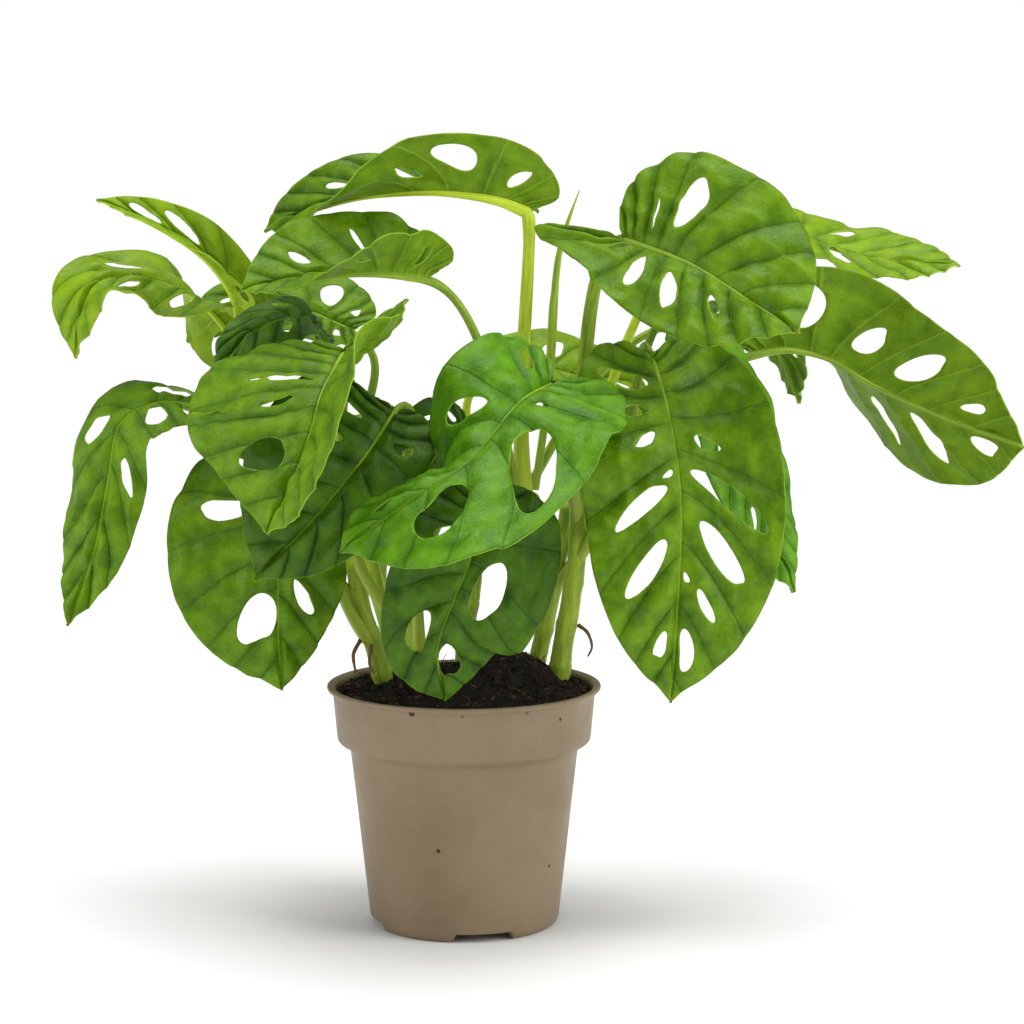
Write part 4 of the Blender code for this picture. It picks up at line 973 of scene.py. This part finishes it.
def window_edge(window, steps=36):
    """An oval in share and out, narrower toward the margin, with a slow wobble."""
    turn = np.linspace(0, 2 * np.pi, steps, endpoint=False)
    wobble = 1 + 0.10 * np.sin(2 * turn + window.along * 90) + 0.07 * np.sin(3 * turn + window.out * 70)
    share = window.along + window.half_along * np.sin(turn) * wobble * (1 - 0.22 * np.cos(turn))
    return share, window.out + window.half_out * np.cos(turn) * wobble


# %% Cut the sheet
ROWS, COLUMNS = 120, 92
PLAN = np.array([62.0, 130.0])  # stretches out and share to about millimetres
CLEARANCE = 0.75  # from a window's edge to the nearest point of the grid


def inside_polygon(points, corners):
    """True where a line to the right of the point crosses the polygon's edges an odd number of times."""
    inside = np.zeros(len(points), bool)
    x, y = points.T
    for (ax, ay), (bx, by) in zip(corners, np.roll(corners, -1, axis=0)):
        crosses = (ay > y) != (by > y)
        inside ^= crosses & (x < (bx - ax) * (y - ay) / (by - ay + 1e-12) + ax)
    return inside


def cut_sheet(windows):
    """Triangles over the plan, with holes: points as (signed out, share), and the corners of each triangle."""
    even = np.linspace(-1, 1, COLUMNS + 1)
    out = np.sign(even) * np.abs(even) ** 1.2
    grid = np.stack(np.meshgrid(out, np.linspace(0, 1, ROWS + 1), indexing="ij"), -1).reshape(-1, 2) * PLAN
    rings = []
    for window in windows:
        share, out = window_edge(window)
        rings.append(np.stack([window.side * out, share], 1) * PLAN)
    clear = np.ones(len(grid), bool)
    for ring in rings:
        near = np.linalg.norm(grid[:, None] - ring[None], axis=2).min(1) < CLEARANCE
        clear &= ~(near | inside_polygon(grid, ring))
    points = np.concatenate([*rings, grid[clear]])
    edges = []
    for ring in rings:
        first = len(edges)
        edges += [(first + i, first + (i + 1) % len(ring)) for i in range(len(ring))]
    points, _, faces, *_ = delaunay_2d_cdt([Vector(p) for p in points], edges, [], 0, 1e-5)
    points, faces = np.array([tuple(p) for p in points]), np.array([tuple(f) for f in faces])
    middles = points[faces].mean(1)
    keep = np.ones(len(faces), bool)
    for ring in rings:
        keep &= ~inside_polygon(middles, ring)
    return points / PLAN, faces[keep]


# %% Relief
LEAF_APART = 31.0  # between two leaves in the noise, so that no two are alike


def flat_place(leaf, x, y):
    """The place of a point on the flat leaf, in a plane of the leaf's own."""
    return np.stack([x, y, np.full_like(x, leaf.seed * LEAF_APART)], -1)


def relief(leaf, x, y, out, phase, gap, rim, depth):
    """Height over the sheet in mm: cushions as a power of the sine of the vein phase, which meet in a crease on each
    vein, folds that run from the midrib outwards, a channel with round shoulders along the midrib, puckers from
    noise, and edges that roll down a little."""
    flat = flat_place(leaf, x, y)
    from_vein = np.abs(phase - np.round(phase)) * gap
    quilt = np.abs(np.sin(np.pi * phase)) ** 0.8
    fade = ease(0.02, 0.25, out) * (1 - 0.45 * out**2) * np.clip(gap / 9, 0, 1)
    height = depth * (1.35 * quilt - 0.45 * np.exp(-((from_vein / 0.8) ** 2))) * fade
    taper = 1 - 0.6 * np.clip(y / y.max(), 0, 1)
    height += taper * (0.45 * np.exp(-(((np.abs(x) - 2.8) / 1.8) ** 2)) - 0.75 * np.exp(-((x / 1.0) ** 2)))
    ridged = 1 - np.abs(noise(flat * (1, 0.6, 1), 9.0, 3)) * 2
    folds = noise(np.stack([out * 6, phase * 9, flat[:, 2]], -1), 4.0, 5) * np.clip(gap / 9, 0, 1)
    puckers = 0.8 * noise(flat, 14.0, 1) + 0.65 * ridged + 0.5 * noise(flat, 4.5, 2) + 0.6 * folds
    height += depth * puckers * ease(0, 0.2, out)
    return height - 0.3 * np.exp(-rim / 0.9)


# %% [markdown]
# ## Leaf green
# A blade is greener and glossier above than below, with a paler midrib and a thin, pale, tough edge. The pale edge
# line is partly that margin's own colour and partly a painted highlight where light catches the edge. Above, the
# side veins are painted darker, as painted shade in their creases, and below they stand out pale. Between them the
# cushions are painted lighter, as a painted highlight, and a net of the finest veins shows as grain. One node group
# turns the values that the mesh keeps into masks: the side vein, the midrib, the edge line, the cushion highlight
# between veins, the net, clouds and blemishes. Each finish mixes its own colours with them, because old leaves are
# deep green and young ones are yellow-green.

# %% The vein masks
LEAF_VALUES = ("phase", "gap", "across", "rim")
veining, start, end = new_group(
    "veining",
    [(label, "Float", 0.0) for label in LEAF_VALUES] + [("flat", "Vector", None)],
    [("Side vein", "Float"), ("Midrib", "Float"), ("Edge", "Float"), ("Cushion highlight", "Float"), ("Net", "Float"),
     ("Clouds", "Float"), ("Blemish", "Float")],
)
wander = clouds(veining, start.outputs["flat"], 0.35, 2.0)
drift = calc(veining, "MULTIPLY", calc(veining, "SUBTRACT", wander, 0.5), 0.06)
phase = calc(veining, "ADD", start.outputs["phase"], drift)
fraction = calc(veining, "PINGPONG", phase, 0.5)
from_vein = calc(veining, "MULTIPLY", fraction, start.outputs["gap"])
feed(veining, end.inputs["Side vein"], remap(veining, from_vein, 0.1, 0.8, 1.0, 0.0))
# where the blade swells between two side veins; the finishes lighten it there as a painted highlight on the cushions
feed(veining, end.inputs["Cushion highlight"], remap(veining, fraction, 0.02, 0.42))
from_midrib = calc(veining, "ABSOLUTE", start.outputs["across"])
feed(veining, end.inputs["Midrib"], remap(veining, from_midrib, 0.25, 0.9, 1.0, 0.0))
# edge line within half a millimetre of the margin and the windows: partly the margin's own paler colour, partly a
# painted highlight where light catches the edge
feed(veining, end.inputs["Edge"], remap(veining, start.outputs["rim"], 0.1, 0.5, 1.0, 0.0))
net = veining.nodes.new("ShaderNodeTexVoronoi")
net.feature = "DISTANCE_TO_EDGE"
feed(veining, net.inputs["Vector"], start.outputs["flat"])
feed(veining, net.inputs["Scale"], 0.4)
feed(veining, end.inputs["Net"], remap(veining, net.outputs["Distance"], 0.0, 0.14, 1.0, 0.0))
broad = clouds(veining, start.outputs["flat"], 0.11, 5.0, 0.62)
feed(veining, end.inputs["Clouds"], remap(veining, broad, 0.28, 0.72))
small = clouds(veining, start.outputs["flat"], 0.3, 4.0, 0.65)
feed(veining, end.inputs["Blemish"], remap(veining, small, 0.66, 0.78))

# %% A finish for each face of a blade
BLEMISH_COLOUR = (0.26, 0.30, 0.03, 1)
UPPER_PARTS = (("Net", 0.08), ("Side vein", 0.5), ("Midrib", 0.5))
UNDER_PARTS = (("Net", 0.10), ("Side vein", 0.45), ("Midrib", 0.8))


def blade_finish(name, deep, light, vein, roughness, under=False):
    """deep and light are the two greens, and vein is the colour of the midrib and of the margin. Above, the side
    veins are as dark as deep, as painted shade in their creases, and the net is as dark as deep. Between the veins the
    cushions are lighter, as a painted highlight, and the edge line is partly the margin's own colour and partly a
    painted highlight. Below, the side veins and the net are as pale as the midrib."""
    finish, tree, shader = new_finish(name, roughness, Specular_IOR_Level=0.19)
    values = {label: field(tree, label) for label in LEAF_VALUES}
    masks = use_group(tree, veining, flat=field(tree, "flat", "Vector"), **values)
    # painted highlight: the cushions between the side veins are mixed toward the light green
    swelling = calc(tree, "MULTIPLY", masks["Cushion highlight"], 0.28)
    share = calc(tree, "ADD", swelling, calc(tree, "MULTIPLY", masks["Clouds"], 0.72))
    colour = blend_colours(tree, share, deep, light)
    # above, the side veins and the net go toward deep: on the side veins this is painted shade in their creases;
    # below, the veins are pale in their own colour
    for label, strength in UNDER_PARTS if under else UPPER_PARTS:
        toward = vein if under or label == "Midrib" else deep
        colour = blend_colours(tree, calc(tree, "MULTIPLY", masks[label], strength), colour, toward)
    colour = blend_colours(tree, calc(tree, "MULTIPLY", masks["Blemish"], 0.25), colour, BLEMISH_COLOUR)
    # pale edge line: partly the margin's own colour, partly a painted highlight of light catching the edge
    colour = blend_colours(tree, calc(tree, "MULTIPLY", masks["Edge"], 0.7), colour, vein)
    feed(tree, shader.inputs["Base Color"], colour)
    gloss = remap(tree, masks["Clouds"], 0.0, 1.0, roughness - 0.05, roughness + 0.07)
    dull = calc(tree, "MULTIPLY", masks["Net"], 0.05)
    feed(tree, shader.inputs["Roughness"], calc(tree, "ADD", gloss, dull))
    sign = 1.0 if under else -1.0
    height = calc(tree, "MULTIPLY", masks["Side vein"], 1.2 * sign)
    height = calc(tree, "ADD", height, calc(tree, "MULTIPLY", masks["Midrib"], 1.6 * sign))
    height = calc(tree, "ADD", height, calc(tree, "MULTIPLY", masks["Net"], 0.22 * sign))
    height = calc(tree, "ADD", height, clouds(tree, field(tree, "flat", "Vector"), 0.9, 3.0, 0.6))
    add_bump(tree, shader, height, 0.8, 0.32)
    return finish


def blade_finishes(name, deep, light, vein, under_deep, under_light, roughness=0.38):
    """The finishes of the upper face, the underside and the cut edge."""
    return [
        blade_finish(name + " upper", deep, light, vein, roughness),
        blade_finish(name + " underside", under_deep, under_light, vein, roughness + 0.14, under=True),
        blade_finish(name + " edge", light, vein, vein, roughness + 0.1),
    ]


GREENS = {
    "fresh": blade_finishes("fresh green", (0.048, 0.130, 0.0005, 1), (0.155, 0.305, 0.0015, 1),
                            (0.25, 0.41, 0.02, 1), (0.080, 0.175, 0.002, 1), (0.185, 0.335, 0.004, 1)),
    "mature": blade_finishes("mature green", (0.042, 0.145, 0.002, 1), (0.135, 0.340, 0.007, 1),
                             (0.22, 0.41, 0.03, 1), (0.070, 0.165, 0.003, 1), (0.15, 0.29, 0.006, 1), 0.36),
    "deep": blade_finishes("deep green", (0.016, 0.060, 0.0005, 1), (0.070, 0.175, 0.001, 1),
                           (0.15, 0.28, 0.01, 1), (0.036, 0.098, 0.001, 1), (0.085, 0.18, 0.003, 1), 0.4),
    "young": blade_finishes("young green", (0.112, 0.230, 0.001, 1), (0.245, 0.410, 0.002, 1),
                            (0.36, 0.51, 0.03, 1), (0.15, 0.28, 0.002, 1), (0.29, 0.46, 0.006, 1), 0.36),
}

# %% [markdown]
# ## Make the blades and their stalks
# Each stalk leaves its stem, bows out and comes in under the notch, and goes on below the blade as the midrib,
# thinner and thinner. Its foot clasps the stem with a groove between two wings. The line is a Bezier curve with four
# control points, and then the midrib's own line a little below the sheet.

# %% Blades
BLADE_THICKNESS = 0.55
MARGIN_STEPS = 260
SHARE_STEP = 0.004  # how far ahead the spacing of the veins is measured
LEAN_STEP = 0.1  # how far either way the sheet's lean is measured
WIDEST_GAP = 40
LOOKS = {
    "leaf_top": ("fresh", 1.3), "leaf_upper_left": ("fresh", 1.1), "leaf_far_left_high": ("young", 0.8),
    "leaf_left_pale": ("young", 1.2), "leaf_left_dark": ("deep", 1.3), "leaf_front_left": ("fresh", 1.2),
    "leaf_left_under": ("deep", 1.4), "leaf_lower_left": ("fresh", 1.4), "leaf_far_left_low": ("fresh", 1.4),
    "leaf_front_middle": ("mature", 1.6), "leaf_low_middle": ("deep", 1.2), "leaf_right_hanging": ("fresh", 1.7),
    "leaf_right_behind": ("mature", 1.2), "leaf_upper_right": ("fresh", 1.8), "leaf_right_high": ("young", 1.2),
    "leaf_far_right": ("fresh", 1.0), "leaf_back_middle": ("young", 1.2), "leaf_back_left": ("fresh", 1.3),
    "leaf_back_right": ("mature", 1.3), "leaf_back_low": ("mature", 1.4), "leaf_inner": ("deep", 1.1),
}


def nearest(points, others):
    """The distance from each point to the nearest of the others."""
    return np.sqrt(((points[:, None] - others[None]) ** 2).sum(2).min(1))


def make_blade(leaf, tone, depth):
    """The blade as a sheet, in a tone of green, with relief of this depth. Returns the midrib it was bent along."""
    midrib = Midrib(leaf)
    windows = windows_of(leaf) + SLITS.get(leaf.name, [])
    plan, faces = cut_sheet(windows)
    side, out, share = np.where(plan[:, 0] < 0, -1, 1), np.abs(plan[:, 0]), np.clip(plan[:, 1], 0, 1)
    x, y = flat_point(share, side, out, leaf, midrib.length)
    edges = [(np.linspace(0, 1, MARGIN_STEPS), which, np.ones(MARGIN_STEPS)) for which in (-1, 1)]
    for window in windows:
        edge_share, edge_out = window_edge(window)
        edges.append((edge_share, window.side, edge_out))
    rims = np.concatenate([np.stack(flat_point(a, s, b, leaf, midrib.length), 1) for a, s, b in edges])
    rim = nearest(np.stack([x, y], 1), rims)
    phase = vein_phase(windows, share, side)
    ahead_x, ahead_y = flat_point(share + SHARE_STEP, side, out, leaf, midrib.length)
    change = vein_phase(windows, share + SHARE_STEP, side) - phase
    gap = np.hypot(ahead_x - x, ahead_y - y) / np.maximum(change, 1e-4)
    lean_x = bend(leaf, midrib, x + LEAN_STEP, y) - bend(leaf, midrib, x - LEAN_STEP, y)
    lean_y = bend(leaf, midrib, x, y + LEAN_STEP) - bend(leaf, midrib, x, y - LEAN_STEP)
    height = relief(leaf, x, y, out, phase, gap, rim, depth)
    points = bend(leaf, midrib, x, y) + unit(np.cross(lean_x, lean_y)) * height[:, None]
    fields = {"phase": phase, "gap": np.clip(gap, 0, WIDEST_GAP), "across": x, "rim": rim,
              "flat": flat_place(leaf, x, y)}
    name, sheet = leaf.name.replace("leaf", "blade"), (BLADE_THICKNESS, -1)
    add_piece(name, points, faces, GREENS[tone], [leaf.name], fields, sheet)
    return midrib


# %% Stalks
STALK_SIDES = 18
RIB_SHARE = 1.06  # from here on the stalk is the blade's midrib
STALK_PROFILE = (  # the share of the stalk's length, and the radius there
    (0, 3.1), (0.1, 2.9), (0.3, 2.3), (0.9, 1.75), (0.97, 2.0), (RIB_SHARE, 1.6), (1.25, 1.1), (1.8, 0.7),
)
NOTCH_DROP, NOTCH_RUN = 2.15, 1.5  # where the stalk ends, below the notch and past it
RIB_START, RIB_END_SHARE = 6, 0.93  # where the midrib starts, in mm, and ends
RIB_SINK = (1.75, 0.75)  # how far below the sheet it lies at its start and its end


def stalk_line(leaf, midrib):
    """A Bezier curve from the stem's middle to the notch, and then the midrib's line, sunk by most of a radius."""
    stem_name, height, lean, foot_run, blade_run = leaf.stalk
    line = stem_lines[stem_name]
    start = np.array([np.interp(height, line[:, 2], line[:, k]) for k in range(3)])
    rise = unit(np.array([np.interp(height, line[:, 2], np.gradient(line[:, k])) for k in range(3)]))
    point, forward, up, _ = midrib.at(np.array([0.0]))
    end = point[0] - up[0] * NOTCH_DROP + forward[0] * NOTCH_RUN
    first = start + unit(rise + np.array([*lean, 0.0])) * foot_run
    last = end - unit(forward[0] + 0.12 * up[0]) * blade_run
    t = np.linspace(0, 1, 26)[:, None]
    stalk = (1 - t) ** 3 * start + 3 * (1 - t) ** 2 * t * first + 3 * (1 - t) * t**2 * last + t**3 * end
    rib_end = midrib.length * RIB_END_SHARE
    under = np.linspace(RIB_START, rib_end, 16)
    point, _, up, _ = midrib.at(under)
    depth = np.interp(under, [RIB_START, rib_end], RIB_SINK)
    return np.concatenate([stalk, point - up * depth[:, None]]), run_along(stalk)[-1]


def make_stalk(leaf, midrib, girth, finish):
    """The stalk and the midrib as one tube. At its foot, the tube has a groove between two wings."""
    line, stalk_length = stalk_line(leaf, midrib)
    line = smooth_line(line, 120)
    run = run_along(line)
    share = run / stalk_length
    radius = np.interp(share, *zip(*STALK_PROFILE)) * girth
    is_rib = share > RIB_SHARE
    radius[is_rib] *= np.interp(run[is_rib], [stalk_length, run[-1]], [1, 0.45])
    turn = np.linspace(-np.pi, np.pi, STALK_SIDES, endpoint=False)
    clasp = ease(0.5, 0.05, share)[:, None]
    wings = 0.22 * np.exp(-(((np.abs(turn) - 0.75) / 0.28) ** 2)) - 0.28 * np.exp(-((turn / 0.5) ** 2))
    ribs = 0.02 * np.cos(turn * 5)
    radii = radius[:, None] * (1 + clasp * wings + ribs)
    points, faces, fields = tube(line, radii, STALK_SIDES, (0.2, -1.0, 0.1))
    name, node = leaf.name.replace("leaf", "stalk"), leaf.name.replace("leaf", "petiole")
    add_piece(name, points, faces, [finish], [node], fields)


GIRTH = {"leaf_top": 1.45, "leaf_upper_right": 1.5, "leaf_right_hanging": 0.95}
SLITS = {"leaf_right_hanging": [Window(-1, 0.79, 0.12, 0.008, 0.05), Window(1, 0.58, 0.12, 0.008, 0.05)]}
for leaf in LEAVES:
    tone, depth = LOOKS[leaf.name]
    midrib = make_blade(leaf, tone, depth)
    pale = tone == "young" or leaf.name == "leaf_top"
    make_stalk(leaf, midrib, GIRTH.get(leaf.name, 1.0), pale_stalk_finish if pale else petiole_finish)
    print(leaf.name, "is", round(midrib.length), "mm long and", leaf.left.width + leaf.right.width, "wide")

# %% [markdown]
# ## The rolled leaf and the aerial roots
# A new leaf comes up rolled like a paper scroll, brighter than the rest and ending in a soft point. A roll is a tube
# whose radius grows once round, so it has a step, and the step winds slowly up. The roots are short, brown and
# rough, and each tapers to a tip.

# %% Rolled leaf
rolled_finish = stalk_finish("rolled leaf", foot=(0.44, 0.58, 0.08, 1), dark=(0.29, 0.47, 0.03, 1),
                             light=(0.48, 0.66, 0.06, 1), roughness=0.4)
ROLL_STEPS, ROLL_SIDES = 120, 32
line = smooth_line([(31, 7, 190.5), (37, 7, 236), (40, 5, 284), (44, 3, 304), (50, 0, 321)], ROLL_STEPS)
share = np.linspace(0, 1, ROLL_STEPS)[:, None]
turn = np.linspace(0, 2 * np.pi, ROLL_SIDES, endpoint=False)[None]
wound = (turn / (2 * np.pi) + share * 1.6) % 1.0
radii = np.interp(share, (0, 0.25, 0.5, 0.75, 1), (1.9, 1.7, 2.1, 1.5, 0.25))
radii = radii * (1 + 0.22 * wound**1.5 - 0.1)
points, faces, fields = tube(line, radii, ROLL_SIDES)
add_piece("rolled_young_leaf", points, faces, [rolled_finish], ["young_leaf"], fields)

# %% Aerial roots
root_finish = stalk_finish("root skin", foot=(0.14, 0.07, 0.03, 1), dark=(0.10, 0.05, 0.02, 1),
                           light=(0.24, 0.14, 0.06, 1), roughness=0.8)
ROOTS = (
    ("root_right", [(50, 5, 131), (54, 3, 128), (56, 2, 122), (54, 2, 117)], (0.9, 0.8, 0.6, 0.4)),
    ("root_left", [(-45, -4, 126), (-48, -7, 120), (-47, -9, 112)], (1.0, 0.8, 0.5)),
    ("root_left_front", [(-40, -6, 124), (-41, -9, 117), (-39, -11, 112)], (0.9, 0.7, 0.5)),
)
ROOT_STEPS, ROOT_SIDES = 30, 14
for number, (node, key_points, widths) in enumerate(ROOTS):
    line = smooth_line(key_points, ROOT_STEPS)
    share = np.linspace(0, 1, ROOT_STEPS)
    radii = np.interp(share, np.linspace(0, 1, len(widths)), widths)
    radii = radii * np.sqrt(np.clip((1 - share) / 0.08, 0, 1))
    points, faces, fields = rough_tube(line, radii, ROOT_SIDES, 0.14, 1.3, 40 + number)
    add_piece(node.replace("root", "aerial_root"), points, faces, [root_finish], [node], fields)
print("roots:", len(ROOTS))

# %% [markdown]
# ## Floor, light and camera
# The plant stands on plain white paper. One very wide light hangs overhead, so the leaves cast a broad, soft shadow
# round the pot and shade each other. Two big soft boxes stand in front at either side, which leaves the pot's middle a
# little darker than its flanks. The surround is dim, but the camera sees it as white as the paper.

# %% Paper floor
paper_finish, tree, shader = new_finish("white paper", 0.9, Specular_IOR_Level=0.1)
PAPER_DARK, PAPER_LIGHT = (0.92, 0.92, 0.92, 1), (0.94, 0.94, 0.94, 1)
tint = use_group(tree, mottle, Place=object_place(tree), Scale=3.0, Dark=PAPER_DARK, Light=PAPER_LIGHT)
feed(tree, shader.inputs["Base Color"], tint["Colour"])
FLOOR_REACH = 60.0
points = FLOOR_REACH * np.array([(-1, -1, 0), (1, -1, 0), (1, 1, 0), (-1, 1, 0)])
paper = bpy.data.meshes.new("paper_floor")
paper.from_pydata(points.tolist(), [], [(0, 1, 2, 3)])
paper.materials.append(paper_finish)
floor = add_object("paper_floor", paper)
floor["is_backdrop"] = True

# %% Lights


def soft_box(name, place, target, size, power):
    """A square area light at a place, facing a target. Metres and watts."""
    light = bpy.data.lights.new(name, "AREA")
    light.shape, light.size, light.energy = "SQUARE", size, power
    lamp = add_object(name, light)
    lamp.location = place
    lamp.rotation_euler = (Vector(target) - Vector(place)).to_track_quat("-Z", "Y").to_euler()


middle = (0, 0, 0.18)
soft_box("left box", (-1.5, -0.55, 0.7), middle, size=0.9, power=9)
soft_box("right box", (1.5, -0.65, 0.8), middle, size=0.9, power=15)
overhead = bpy.data.lights.new("overhead", "SUN")
overhead.energy, overhead.angle = 2.6, math.radians(50)
lamp = add_object("overhead", overhead)
lamp.rotation_euler = (math.radians(3), math.radians(2), 0)

world = bpy.data.worlds.new("studio surround")
bpy.context.scene.world = world
world.use_nodes = True
tree = world.node_tree
surround = tree.nodes["Background"]
surround.inputs["Color"].default_value = (1, 1, 1, 1)
seen = tree.nodes.new("ShaderNodeLightPath").outputs["Is Camera Ray"]
DIM, WHITE = 0.3, 1.0
feed(tree, surround.inputs["Strength"], remap(tree, seen, 0.0, 1.0, DIM, WHITE))
bpy.context.scene.view_settings.view_transform = "Standard"

# %% Camera
camera_data = bpy.data.cameras.new("camera")
camera_data.lens, camera_data.sensor_width = 112.2, 36.0
camera = add_object("camera", camera_data)
camera.location = (0.021, -1.376, 0.364)
LOOKS_DOWN_DEG = 7.55
camera.rotation_euler = (math.radians(90 - LOOKS_DOWN_DEG), 0, 0)
bpy.context.scene.camera = camera

# %% [markdown]
# The surfaces may not outgrow the solids they stand for. Both boxes are written down, so that they can be compared.

# %% Write the sizes and finish
visual_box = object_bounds()
for corner, solid in zip(visual_box, cad_box):
    print([round(v / MM, 1) for v in corner], "against", [round(v / MM, 1) for v in solid])
